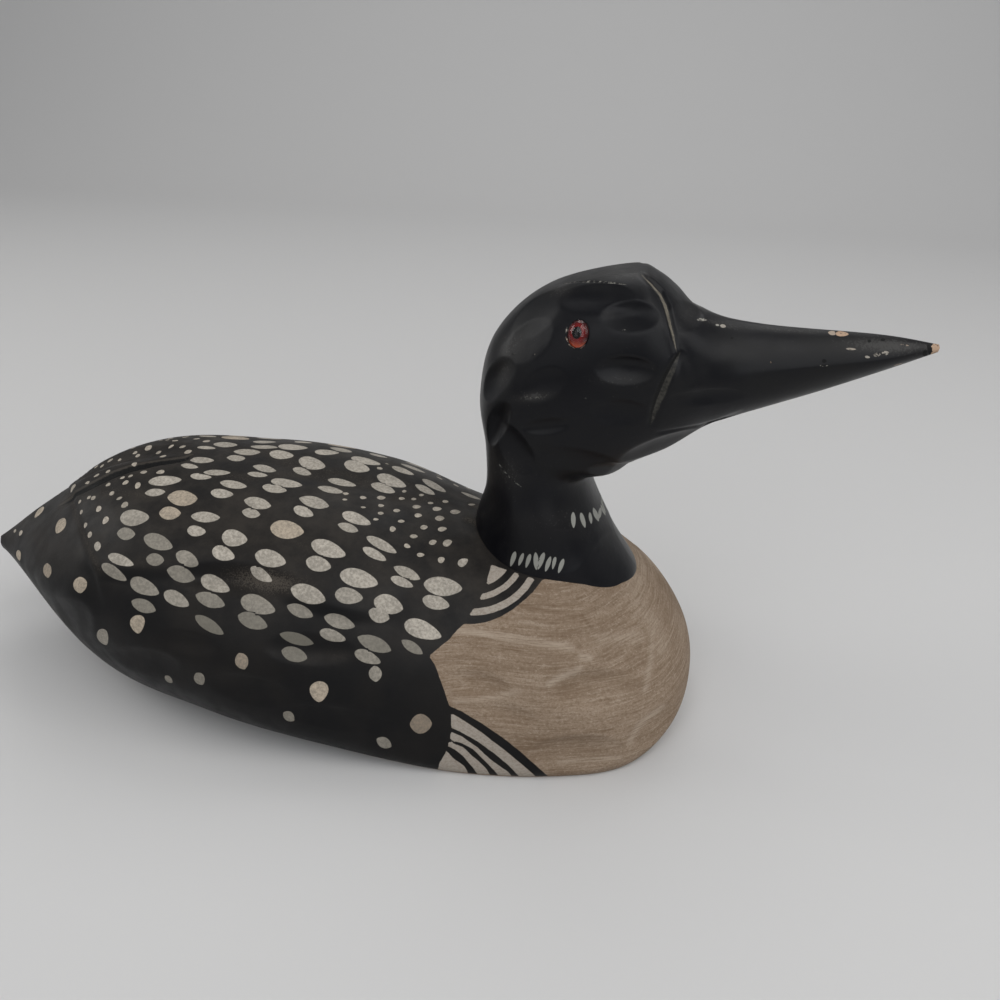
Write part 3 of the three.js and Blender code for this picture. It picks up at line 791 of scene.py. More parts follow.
# where the cream was laid thin: middle, long and short axis, tilt, strength
THIN_PAINT = [
    (126, 534, 26, 18, 0, 0.6), (157, 552, 50, 46, 30, 0.75), (184, 566, 40, 44, 60, 0.6),
    (150, 598, 80, 40, 20, 0.8), (212, 612, 40, 50, 0, 0.7), (255, 614, 50, 36, 20, 0.9),
    (209, 625, 50, 24, 30, 0.9), (295, 646, 50, 40, 20, 1.0), (300, 611, 36, 16, 20, 0.5),
    (336, 630, 50, 34, 20, 0.6), (371, 650, 50, 36, 20, 0.75), (413, 646, 36, 20, 30, 0.6),
    (349, 597, 34, 18, 0, 0.4), (113, 572, 34, 16, 35, 0.6), (421, 724, 30, 30, 0, 0.8),
    (241, 661, 24, 24, 0, 0.5), (199, 679, 24, 24, 0, 0.6), (103, 637, 24, 24, 0, 0.5),
    (384, 742, 24, 24, 0, 0.5), (289, 717, 24, 24, 0, 0.6), (169, 679, 16, 16, 0, 0.6),
    (134, 517, 34, 22, 0, 0.4), (47, 570, 20, 20, 0, 0.3), (375, 674, 20, 20, 0, 0.3),
]

print("spots drawn:", len(SPOTS) + len(WARM_SPOTS) + len(DOTS))

# %% Carry the spots to the skin
carved_skin = Skin(body_grid, plain_body)
groups = [ovals(carved_skin, drawn) for drawn in (SPOTS, WARM_SPOTS, DOTS)]
spots = np.concatenate(groups)
warmth = np.repeat(WARMTHS, [len(group) for group in groups])
paired = spots[:, 0, 1] < -MIDDLE_STRIP
opposite = mirrored(spots[paired])
gap = np.linalg.norm(opposite[:, None, 0] - spots[None, :, 0], axis=-1).min(1)
spots = np.concatenate([spots, opposite[gap > CLEARANCE]])
warmth = np.concatenate([warmth, warmth[paired][gap > CLEARANCE]])
tones = 1 - blots(THIN_PAINT, seen(right_side(spots[:, 0])))
spread(body, spots, tones, warmth, face_middles(body_grid, *body_ends))
print("spots:", len(spots))

# %% [markdown]
# ## Dust, rubbing, painted sheen and the wing slit
# Years of dust lie in the band under the wing tips, in the scoop under the wing's edge, along the
# wing's ridge and round the neck; on the ridge the same field also paints sheen where the light
# catches it. Dust and painted sheen are one field over the skin, drawn in the picture as soft
# strokes and blots, and the paint breaks it up into specks. Two more fields hold the distance from
# the slit, for the painted shadow on its floor and the painted highlight along its edge.

# %% Dust and wear on the body
# stroke, half width in the picture, strength
DUST_AND_SHEEN_STROKES = [
    ([(71, 496), (76, 514), (82, 532), (90, 552), (99, 571)], 5, 0.6),
    ([(78, 497), (96, 486), (130, 474), (190, 456)], 6, 0.45),
    ([(105, 492), (150, 494), (165, 490)], 9, 0.5),
    ([(466, 519), (479, 524), (485, 537), (497, 549)], 4, 0.8),
    ([(395, 498), (430, 500), (480, 506)], 5, 0.55),
    # the wing's ridge: dust, and painted sheen where the ridge catches the light
    ([(212, 474), (250, 478), (300, 473), (345, 482), (380, 484)], 6, 0.55),
]
# mostly dust, with painted sheen in the blots on the wing's ridge
# middle, long and short axis, tilt, strength
DUST_AND_SHEEN_BLOTS = [
    (266, 581, 96, 30, 8, 1.0), (48, 548, 62, 60, 0, 0.4), (305, 546, 74, 18, 22, 0.4),
    (150, 560, 90, 30, 10, 0.35), (375, 566, 70, 24, 20, 0.35), (203, 508, 60, 16, 4, 0.4),
    (334, 655, 60, 24, 5, 0.35), (430, 690, 60, 80, 60, 0.25), (100, 470, 90, 30, -25, 0.4),
]
TAIL_DUST = 0.4
FAR = 9  # further than any line is wide
LAP_SHADOW_WIDTH = 1.5  # half width of the slit's painted shadow in the picture

drawn_at = seen(right_side(body_grid))
# one field for dust and for painted sheen on the wing's ridge
dust_and_sheen = np.maximum(strokes_of(DUST_AND_SHEEN_STROKES, drawn_at), blots(DUST_AND_SHEEN_BLOTS, drawn_at))
mark(body, "dust_and_sheen", with_ends(dust_and_sheen, TAIL_DUST, 0))
# painted shadow on the slit's floor, and beyond it a painted highlight along its edge
slit_shadow = LAP_SHADOW_WIDTH * lap_taper - np.abs(lap_off)
lip_highlight = LAP_SHADOW_WIDTH * lap_taper + lap_off
mark(body, "slit_shadow", with_ends(np.where(lapped, slit_shadow, -FAR), -FAR, -FAR))
mark(body, "lip_highlight", with_ends(np.where(lapped, np.clip(-lip_highlight, -FAR, FAR), -FAR), -FAR, -FAR))
print("dusty share of the skin:", (dust_and_sheen > 0.4).mean().round(2))

# %% [markdown]
# ## Edge of the breast and its stripes
# The tan breast meets the black in a cut-out line, with fine arcs at the shoulder and a fan of
# bands at the foot. A painted texture would blur when seen close, so the paint reads a signed
# distance to each line. The lines are drawn once, for the right side, as outlines in the picture,
# and the left side takes the same drawing by its mirrored place.

# %% Breast, arcs and fan
BREAST = [
    (542, 580), (533, 592), (522, 602), (512, 610), (500, 617), (487, 622), (475, 624), (464, 624),
    (457, 630), (450, 639), (440, 647), (429, 656), (435, 665), (440, 679), (444, 690), (449, 706),
    (451, 714), (451, 729), (450, 739), (447, 747), (446, 752), (440, 762), (436, 775), (420, 830),
    (900, 830), (900, 400), (640, 430), (600, 560),
]
FAN = [
    [(447, 705), (461, 711), (481, 723), (502, 737), (522, 753), (560, 787),
     (548, 787), (522, 764.5), (502, 748), (481, 732), (461, 718.6), (447, 711)],
    [(447, 726), (461, 732), (477, 741), (491, 751), (507, 764), (530, 787),
     (520, 787), (507.8, 771.6), (491, 760), (477, 747), (461, 736), (447, 730)],
    [(447, 739), (461, 743), (473, 749), (483, 759), (493, 769), (506, 785),
     (497, 785), (486, 768.6), (481, 763.5), (471, 755), (463, 747), (447, 741)],
    [(444, 744), (454, 749), (463, 756), (472, 766.5), (484, 783),
     (474, 783), (464, 765.5), (454, 759), (446.7, 751), (440, 744)],
]
ARC_MIDDLE = (473, 545)
ARC_RADII = [(0, 42.3), (49.5, 55.4), (63.5, 70.5)]
ARC_TOP = [(491.4, 564.8), (536, 579.5)]
ARC_FOOT = [(491.4, 564.8), (485.3, 586.7), (478.7, 601), (468.5, 616.3)]
ARC_SIDE = [(600, 700), (700, 560), (536, 540)]  # closes the foot line round the arcs
ARC_MARGIN = 1
INSIDE = 50  # stands for a place well within the tan


def inside(outline, place):
    """Signed distance to a closed outline in the picture, positive inside. The sign flips each
    time a level line from the point crosses the outline."""
    x, y = place[..., 0], place[..., 1]
    nearest = np.full(x.shape, np.inf)
    within = np.zeros(x.shape, bool)
    for (ax, ay), (bx, by) in zip(outline, outline[1:] + outline[:1]):
        px, py = x - ax, y - ay
        dx, dy = bx - ax, by - ay
        u = np.clip((px * dx + py * dy) / (dx * dx + dy * dy), 0, 1)
        nearest = np.minimum(nearest, np.hypot(px - u * dx, py - u * dy))
        if ay != by:
            crosses = ((ay > y) != (by > y)) & (x < ax + (y - ay) * dx / dy)
            within ^= crosses
    return np.where(within, nearest, -nearest)


def beyond(line, place):
    """Signed distance to a line drawn left to right, positive below it."""
    (ax, ay), (bx, by) = line[0], line[-1]
    length = math.hypot(bx - ax, by - ay)
    return ((bx - ax) * (place[..., 1] - ay) - (by - ay) * (place[..., 0] - ax)) / length


breast = inside(BREAST, drawn_at)
for band in FAN:
    breast = np.minimum(breast, -inside(band, drawn_at))
radius = np.hypot(drawn_at[..., 0] - ARC_MIDDLE[0], drawn_at[..., 1] - ARC_MIDDLE[1])
arcs = np.full(radius.shape, -np.inf)
for inner, outer in ARC_RADII:
    arcs = np.maximum(arcs, np.minimum(radius - inner, outer - radius))
foot_line = inside(ARC_FOOT + ARC_SIDE, drawn_at)
arcs = np.minimum(np.minimum(arcs, beyond(ARC_TOP, drawn_at)), foot_line)
breast = np.maximum(breast, arcs)
mark(body, "breast", with_ends(breast, -INSIDE, INSIDE))
print("share of the skin in tan:", (breast > 0).mean().round(2))

# %% Scuffs, painted highlights and painted shade of the breast, and cream between the bands
# stroke, half width in the picture, strength
# pale scuffs, and painted highlights on the rims of the scoops and the ridges between them
PALE_SCUFFS_AND_HIGHLIGHTS = [
    ([(455, 629), (487, 634), (530, 641), (572, 648)], 3.5, 0.8), ([(581, 657), (590, 658)], 3, 1.0),
    ([(629, 742), (640, 724), (663, 706)], 2.6, 0.7), ([(653, 632), (652, 655), (645, 690)], 3, 0.55),
    ([(549, 685), (562, 676), (580, 669)], 3, 0.8), ([(600, 640), (640, 636)], 6, 0.4),
    ([(456, 702), (490, 698), (520, 691)], 3, 0.5), ([(560, 762), (620, 757)], 3, 0.45),
    ([(630, 590), (650, 620), (660, 650)], 8, 0.3), ([(600, 565), (640, 580)], 8, 0.35),
]
# dark scuffs and a scratch, and painted shade inside the scoops
DARK_SCUFFS_AND_SHADE = [
    ([(520, 605), (550, 610), (582, 618)], 4, 0.7), ([(583, 617), (592, 629)], 1.8, 0.9),
    ([(500, 649), (545, 656), (575, 663)], 2.5, 0.5), ([(447, 652), (500, 664)], 5, 0.45),
    ([(470, 676), (505, 686)], 7, 0.4), ([(560, 690), (600, 678), (640, 684)], 6, 0.5),
    ([(520, 746), (560, 740), (600, 742)], 5, 0.45), ([(602, 733), (612, 729)], 2, 0.8),
    ([(660, 600), (676, 640), (682, 690)], 8, 0.35), ([(455, 690), (480, 690)], 5, 0.35),
]
FAN_CREAM = [
    (447, 711), (461, 718.6), (481, 732), (502, 748), (522, 764.5), (548, 787), (430, 800), (436, 740),
]
cream = np.maximum(ARC_RADII[-1][1] + ARC_MARGIN - radius, inside(FAN_CREAM, drawn_at))
mark(body, "cream", with_ends(np.clip(cream, -FAR, FAR), -FAR, -FAR))
# the pale field holds scuffs and painted highlights, the dark one scuffs and painted shade
mark(body, "pale", with_ends(strokes_of(PALE_SCUFFS_AND_HIGHLIGHTS, drawn_at), 0, 0))
mark(body, "dark", with_ends(strokes_of(DARK_SCUFFS_AND_SHADE, drawn_at), 0, 0))
print("scuffs:", len(PALE_SCUFFS_AND_HIGHLIGHTS), "pale,", len(DARK_SCUFFS_AND_SHADE), "dark")

# %% [markdown]
# ## Necklace and chips
# Short upright strokes ring the neck in two groups on each side. Chips in the black paint of the
# bill show bare wood or pale primer, and its tip is broken off to the wood. A pale line along the
# edge over the crown's hollow is a painted highlight. They are marks like the spots, so the same
# helper keeps them on the faces.

# %% Necklace strokes and chips
NECKLACE = [
    (513, 559, 15.5, 108), (521, 559.4, 13.5, 110), (528, 561, 14, 107), (536, 561, 17, 86),
    (541, 561, 17, 110), (548, 564, 15, 110), (554, 563, 12, 104), (561, 566, 15, 112),
    (573.4, 520, 15.7, 88), (583, 520.2, 15.5, 74), (590.6, 518, 11.5, 82), (596, 514.5, 15, 68),
    (600, 513, 12, 100), (603, 510, 12, 62),
]
STROKE_RATIO = 0.29
# middle, long and short axis, tilt, tone from black to pale, warmth
CHIPS = [
    # bill
    (832.5, 332.8, 9, 4.6, 5, 0.9, 0.5), (842, 333.7, 13, 5, 4, 0.6, 1.0),
    (824.3, 361, 5, 4, 0, 0.0, 0.0), (824, 365.6, 8, 1.8, 0, 0.3, 0.1),
    (869.3, 341, 4, 3, 0, 0.0, 0.0), (883, 339.8, 5, 3, 0, 0.0, 0.0),
    (732, 338, 3, 2.4, 0, 0.0, 0.0), (771.5, 362.6, 3, 2.4, 0, 0.35, 0.7),
    (851, 349, 10, 2.2, 3, 0.7, 0.3), (867.5, 357, 5, 2.4, 10, 0.85, 0.2),
    (877, 354.6, 8, 4, -10, 0.4, 0.2), (885, 353.2, 8, 4.5, -10, 0.35, 0.2),
    (723, 326, 6, 3.4, 10, 0.9, 0.2), (717.5, 325, 4, 2, 10, 0.6, 0.1),
    (702, 319.5, 9, 3, 12, 0.45, 0.1), (936.5, 348, 11, 10, 15, 0.6, 1.0),
    (930, 349.5, 11, 5, 75, 0.0, 0.0), (905, 345, 9, 1.8, 5, 0.3, 0.6),
    # cheek, nape and neck
    (529, 397.5, 8, 2.5, 5, 0.14, 0.1), (541, 396.5, 12, 3, -15, 0.16, 0.1),
    (624, 330, 4, 2, 0, 0.16, 0.1), (586, 399, 3.4, 2.6, 0, 0.12, 0.0),
    (533.5, 355, 4, 2.4, -40, 0.2, 0.3), (513.5, 354, 3, 2.4, 0, 0.16, 0.1),
    (505, 472, 20, 1.4, 50, 0.2, 0.0), (515, 482, 18, 1.2, 40, 0.15, 0.0),
    (483, 452, 5, 2.5, 60, 0.3, 0.5),
    # painted highlight along the edge over the crown's hollow
    (592, 281.5, 66, 2.0, 1, 0.2, 0.1),
    # edge of the eye's socket
    (567.2, 340, 8, 1.5, 68, 0.4, 0.5), (571.7, 346.3, 8, 1.5, 34, 0.5, 0.6),
    (566.5, 330, 7, 1.3, 100, 0.3, 0.2), (583, 346.4, 7, 1.3, -38, 0.3, 0.6),
]
# rubbed places, and painted highlights on the bill's top and over the crown: middle, long and
# short axis, tilt, strength
RUBBED_AND_SHEEN = [
    (888, 346, 84, 16, 3, 0.9), (722, 324, 50, 7, 12, 0.5), (785, 330, 110, 6, 3, 0.45),
    (533, 397, 34, 9, -8, 0.7), (512, 345, 40, 24, -50, 0.4), (505, 374, 14, 34, 10, 0.45),
    (560, 290, 30, 13, -10, 0.5), (628, 274, 60, 12, 2, 0.5), (690, 312, 26, 36, 20, 0.4),
    (507, 472, 36, 30, 40, 0.4), (560, 520, 90, 24, 0, 0.25), (622, 380, 50, 12, 0, 0.3),
]
head_skin_carved = Skin(head_grid, plain_head)
drawn = [(x, y, long, long * STROKE_RATIO, tilt) for x, y, long, tilt in NECKLACE]
strokes = ovals(head_skin_carved, drawn)
chips = ovals(head_skin_carved, [row[:5] for row in CHIPS])
marks = np.concatenate([strokes, chips])
tones = np.concatenate([np.full(len(strokes), 1.0), [row[5] for row in CHIPS]])
warmth = np.concatenate([np.zeros(len(strokes)), [row[6] for row in CHIPS]])
marks = np.concatenate([marks, mirrored(marks)])
tones, warmth = np.tile(tones, 2), np.tile(warmth, 2)
head_faces = face_middles(head_grid, *head_ends)
spread(head, marks, tones, warmth, head_faces, thickness=4.0, reach=3.0)
mark(head, "wear_and_sheen", with_ends(blots(RUBBED_AND_SHEEN, seen(right_side(head_grid))), 0, 1))
print("necklace strokes:", len(strokes), "chips:", len(chips))

# %% [markdown]
# ## Glass eyes
# Each eye is an oval glass bead with a painted back: red round a black pupil. The glass is clear
# and the painted back is a smaller bead inside it, so that the red glows through a lens. The eye
# looks out squarely to the cheek, which here faces a little up and back.

# %% Eyes
EYE_RINGS = 48
EYE_AROUND = 64
CORE_SHARE = 0.9
EYE_LOOK = (-0.2, -0.86, 0.47)  # where the right eye's pupil points


def bead(name, middle, half):
    """An oval bead whose poles lie across the bird: rings of radius sin(a) at cos(a) along Y,
    each axis times its own half size."""
    a = (np.arange(1, EYE_RINGS) / EYE_RINGS * np.pi)[:, None]
    b = (np.arange(EYE_AROUND) / EYE_AROUND * 2 * np.pi)[None]
    unit = np.stack([np.sin(a) * np.cos(b), -np.cos(a) + 0 * b, np.sin(a) * np.sin(b)], -1)
    across = np.array([0, half[1], 0])
    return skin_mesh(name, middle + half * unit[:, ::-1], middle - across, middle + across)


def off_axis(piece, middle, half, look):
    """How far each point of a bead lies off its axis of sight, as the sine of the angle."""
    points = np.empty(len(piece.data.vertices) * 3)
    piece.data.vertices.foreach_get("co", points)
    unit = (points.reshape(-1, 3) / MM - [tail_tip / MM, 0, 0] - middle) / half
    axis = np.array(look) / np.linalg.norm(look)
    ahead = unit @ axis
    return np.where(ahead > 0, np.sqrt(np.maximum(1 - ahead**2, 0)), 1)


eyes = {}
for side in ("right", "left"):
    low, high = (np.array(corner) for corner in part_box("eye_" + side))
    middle = ((low + high) / 2 - [tail_tip, 0, 0]) / MM
    half = (high - low) / MM / 2
    glass = bead("glass_eye_" + side, middle, half)
    core = bead("painted_eye_" + side, middle, half * CORE_SHARE)
    outwards = math.copysign(1, middle[1])
    look = (EYE_LOOK[0], outwards * abs(EYE_LOOK[1]), EYE_LOOK[2])
    mark(core, "off_axis", off_axis(core, middle, half * CORE_SHARE, look))
    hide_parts("eye_" + side)
    for piece in (glass, core):
        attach(piece, "root")
    eyes[side] = (glass, core, middle)
print("eye middles", {side: eye[2].round(1).tolist() for side, eye in eyes.items()})

# %% [markdown]
# ## Building paint from nodes
# A material is a tree of small nodes. These helpers add one node each and hand back its output,
# so that a finish reads from top to bottom like a recipe.

# %% Node helpers


def finish_named(name):
    """A new material, its node tree and its main shader."""
    material = bpy.data.materials.new(name)
    material.use_nodes = True
    tree = material.node_tree
    return material, tree, tree.nodes["Principled BSDF"]


def put(tree, kind, inputs=None, **settings):
    """Adds a node, sets its choices, and fills its inputs with values or other outputs."""
    made = tree.nodes.new(kind)
    for name, value in settings.items():
        setattr(made, name, value)
    for name, value in (inputs or {}).items():
        socket = made.inputs[name]
        if isinstance(value, bpy.types.NodeSocket):
            tree.links.new(value, socket)
        else:
            socket.default_value = value
    return made


def maths(tree, operation, *values):
    """One step of arithmetic on numbers or outputs."""
    inputs = dict(enumerate(values))
    return put(tree, "ShaderNodeMath", inputs, operation=operation).outputs[0]


def blend(tree, factor, first, second):
    """A colour between two, by a factor from 0 to 1."""

    def colour(c):
        """An output as it is, or a plain colour with full alpha."""
        return c if isinstance(c, bpy.types.NodeSocket) else (*c, 1.0)

    made = put(tree, "ShaderNodeMix", data_type="RGBA")
    for name, value in (("Factor", factor), ("A", colour(first)), ("B", colour(second))):
        kinds = "VALUE" if name == "Factor" else "RGBA"
        socket = next(s for s in made.inputs if s.name == name and s.type == kinds)
        if isinstance(value, bpy.types.NodeSocket):
            tree.links.new(value, socket)
        else:
            socket.default_value = value
    return next(s for s in made.outputs if s.type == "RGBA")


def ramp(tree, value, low, high, start=0.0, end=1.0):
    """Smoothly turns the range low to high into start to end."""
    inputs = {"Value": value, "From Min": low, "From Max": high, "To Min": start, "To Max": end}
    return put(tree, "ShaderNodeMapRange", inputs, interpolation_type="SMOOTHSTEP").outputs[0]


def grain(tree, scale, detail=4.0, stretch=(1, 1, 1), rough=0.55):
    """Noise on the object's own coordinates, finer with scale, stretched along its axes."""
    here = put(tree, "ShaderNodeTexCoord").outputs["Object"]
    bent = put(tree, "ShaderNodeMapping", {"Vector": here, "Scale": stretch}).outputs[0]
    inputs = {"Vector": bent, "Scale": scale, "Detail": detail, "Roughness": rough}
    return put(tree, "ShaderNodeTexNoise", inputs).outputs["Fac"]


def read(tree, name, output="Fac"):
    """A value kept on the piece by mark."""
    return put(tree, "ShaderNodeAttribute", attribute_name=name).outputs[output]


def dot(tree, first, second):
    """Dot product of two vectors."""
    inputs = {0: first, 1: second}
    return put(tree, "ShaderNodeVectorMath", inputs, operation="DOT_PRODUCT").outputs["Value"]


print("plain nodes ready:", [f.__name__ for f in (put, maths, blend, ramp, grain, read, dot)])

# %% Specks and painted marks


def specks(tree, scale, share):
    """Fine specks: 1 where a fine noise passes the share, which may be an output."""
    noise = grain(tree, scale, 3.0, rough=0.7)
    high = maths(tree, "SUBTRACT", 0.74, maths(tree, "MULTIPLY", share, 0.34))
    return ramp(tree, maths(tree, "SUBTRACT", noise, high), -0.03, 0.05)


def brushed_mark(tree, wobble, edge):
    """1 inside the nearest painted mark, its tone and its warmth. The place is measured in half
    axes u and v. The outline is u^2 + |v|^p = 1, with p from 1.3 to 1.9 by the mark's own chance:
    the lower p is, the more it is pointed like a lens. Its far end is slimmer than its near end."""
    here = put(tree, "ShaderNodeTexCoord").outputs["Object"]
    middle = read(tree, "mark_middle", "Vector")
    away = put(tree, "ShaderNodeVectorMath", {0: here, 1: middle}, operation="SUBTRACT").outputs[0]
    chance = put(tree, "ShaderNodeTexWhiteNoise", {"Vector": middle}).outputs["Value"]
    u = dot(tree, away, read(tree, "mark_long", "Vector"))
    v = dot(tree, away, read(tree, "mark_short", "Vector"))
    slim = maths(tree, "MULTIPLY_ADD", u, maths(tree, "MULTIPLY", chance, -0.3), 1.0)
    v = maths(tree, "DIVIDE", maths(tree, "ABSOLUTE", v), maths(tree, "MAXIMUM", slim, 0.5))
    power = maths(tree, "MULTIPLY_ADD", chance, 0.6, 1.3)
    r = maths(tree, "ADD", maths(tree, "MULTIPLY", u, u), maths(tree, "POWER", v, power))
    shaken = maths(tree, "MULTIPLY_ADD", grain(tree, 300, 3.0), wobble, r)
    look = put(tree, "ShaderNodeSeparateXYZ", {0: read(tree, "mark_look", "Vector")})
    inner = ramp(tree, shaken, 1 + wobble / 2 - edge, 1 + wobble / 2 + edge, 1.0, 0.0)
    return maths(tree, "MULTIPLY", inner, look.outputs[0]), look.outputs[1], look.outputs[2], chance


print("pattern nodes ready:", [f.__name__ for f in (specks, brushed_mark)])

# %% [markdown]
# ## Body paint
# Matt black over wood, browner and dusty where the fields say so, lighter and browner on all that
# faces up, with painted sheen on the wing's ridge, a painted highlight along the slit's edge and
# painted shadow on its floor; cream spots, some warmer and some worn to grey, mottled where the
# brush ran dry; and a tan breast scrubbed on with a dry brush, whose streaks run level, with
# painted highlights and painted shade on its scoops. The underside is bare wood. A picture of
# paint would repeat or stretch, so every pattern is a noise on the carving's own coordinates.

# %% Body paint
BLACK = (0.0036, 0.0036, 0.0042)
BROWN_BLACK = (0.02, 0.0165, 0.0135)
DUST_AND_HIGHLIGHT = (0.085, 0.073, 0.06)
UPWARD_TONE = (0.046, 0.039, 0.032)  # lighter and browner on all that faces up
CREAM = (0.54, 0.49, 0.42)
GREY_SPOT = (0.12, 0.113, 0.09)
WARM_SPOT = (0.53, 0.445, 0.345)
WARM_GREY = (0.2, 0.155, 0.115)
TAN = (0.285, 0.215, 0.155)
TAN_DARK = (0.15, 0.098, 0.06)
TAN_PALE = (0.42, 0.345, 0.27)
BAND_CREAM = (0.36, 0.32, 0.275)
BAND_GREY = (0.26, 0.22, 0.18)
BARE_WOOD = (0.3, 0.2, 0.12)
WOOD_GRAIN = (0.19, 0.12, 0.07)
SPOT_SHADE = (0.13, 0.12, 0.1)
SLIT_SHADOW = (0.003, 0.003, 0.003)
PAINT_FOOT = (0.0012, 0.0003)  # metres over the floor between which paint gives way to wood
BODY_SHEEN = 0.17


def black_with_dust_and_painted_light(tree, dust_and_sheen):
    """Black, browner in clouds, in dusty places and where sheen is painted, lighter and browner on
    what faces up, dusty in specks, and last the painted highlight along the slit's edge and the
    painted shadow on its floor."""
    cloudy = ramp(tree, grain(tree, 28, 5.0), 0.35, 0.7)
    # browner where dust lies and where sheen is painted on the wing's ridge
    wear_and_sheen = maths(tree, "MAXIMUM", maths(tree, "MULTIPLY", cloudy, 0.35), dust_and_sheen)
    black = blend(tree, wear_and_sheen, BLACK, BROWN_BLACK)
    # lighter and browner, in patches, on what faces up
    facing = put(tree, "ShaderNodeTexCoord").outputs["Normal"]
    upward = ramp(tree, put(tree, "ShaderNodeSeparateXYZ", {0: facing}).outputs[2], 0.3, 0.95)
    patchy = ramp(tree, grain(tree, 60, 6.0, rough=0.7), 0.35, 0.7, 0.1, 0.55)
    upward_tone = maths(tree, "MULTIPLY", upward, patchy)
    black = blend(tree, upward_tone, black, UPWARD_TONE)
    # specks of dust, also over the painted sheen
    dusty = maths(tree, "MULTIPLY", specks(tree, 1700, dust_and_sheen), maths(tree, "MULTIPLY", dust_and_sheen, 0.7))
    black = blend(tree, dusty, black, DUST_AND_HIGHLIGHT)
    # painted highlight along the slit's edge
    lip_highlight = read(tree, "lip_highlight")
    lip_highlight = maths(tree, "MULTIPLY", ramp(tree, lip_highlight, 0.0, 0.4), ramp(tree, lip_highlight, 1.6, 0.9, 0.0, 0.35))
    black = blend(tree, lip_highlight, black, DUST_AND_HIGHLIGHT)
    # painted shadow on the slit's floor
    slit_shadow = ramp(tree, read(tree, "slit_shadow"), -0.3, 0.3)
    return blend(tree, slit_shadow, black, SLIT_SHADOW)


def spot_cream(tree, tone, warm, chance, mottle):
    """Cream to grey by each spot's tone, tan where it is warm, shaded where the brush ran dry."""
    swirl = grain(tree, 130, 3.0)
    level = maths(tree, "MULTIPLY_ADD", swirl, 0.25, maths(tree, "MULTIPLY", mottle, 0.8))
    light = maths(tree, "MULTIPLY_ADD", chance, 0.25, maths(tree, "MULTIPLY", tone, 0.75))
    spot = blend(tree, light, GREY_SPOT, CREAM)
    spot = blend(tree, warm, spot, blend(tree, light, WARM_GREY, WARM_SPOT))
    return blend(tree, ramp(tree, level, 0.7, 0.38, 0.0, 0.6), spot, SPOT_SHADE)


def brushed_tan(tree, fine_streak):
    """Tan in level streaks and a fine hatch, with pale scuffs and painted highlights, dark scuffs
    and painted shade, and cream in the bands.
    """
    streak = grain(tree, 120, 4.0, (0.25, 0.25, 4.0), 0.6)
    hatch = grain(tree, 800, 4.0, (1.0, 1.0, 1.6), 0.8)
    cloud = grain(tree, 45, 3.0)
    tan = blend(tree, ramp(tree, streak, 0.34, 0.6, 0.55, 1.0), TAN_DARK, TAN)
    tan = blend(tree, ramp(tree, cloud, 0.35, 0.65, 0.0, 0.3), tan, TAN_DARK)
    tan = blend(tree, ramp(tree, fine_streak, 0.5, 0.7, 0.0, 0.45), tan, TAN_PALE)
    tan = blend(tree, ramp(tree, fine_streak, 0.46, 0.34, 0.0, 0.55), tan, TAN_DARK)
    tan = blend(tree, ramp(tree, hatch, 0.5, 0.36, 0.0, 0.6), tan, TAN_DARK)
    tan = blend(tree, ramp(tree, hatch, 0.54, 0.68, 0.0, 0.5), tan, TAN_PALE)
    # pale scuffs and painted highlights, broken up by the streaks
    pale_streaking = ramp(tree, fine_streak, 0.35, 0.6, 0.3, 1.0)
    tan = blend(tree, maths(tree, "MULTIPLY", read(tree, "pale"), pale_streaking), tan, TAN_PALE)
    # dark scuffs and painted shade, broken up by the streaks
    dark_streaking = ramp(tree, fine_streak, 0.62, 0.4, 0.2, 0.9)
    tan = blend(tree, maths(tree, "MULTIPLY", read(tree, "dark"), dark_streaking), tan, TAN_DARK)
    cream = blend(tree, ramp(tree, hatch, 0.3, 0.6), BAND_GREY, BAND_CREAM)
    return blend(tree, ramp(tree, read(tree, "cream"), -0.5, 0.5), tan, cream)


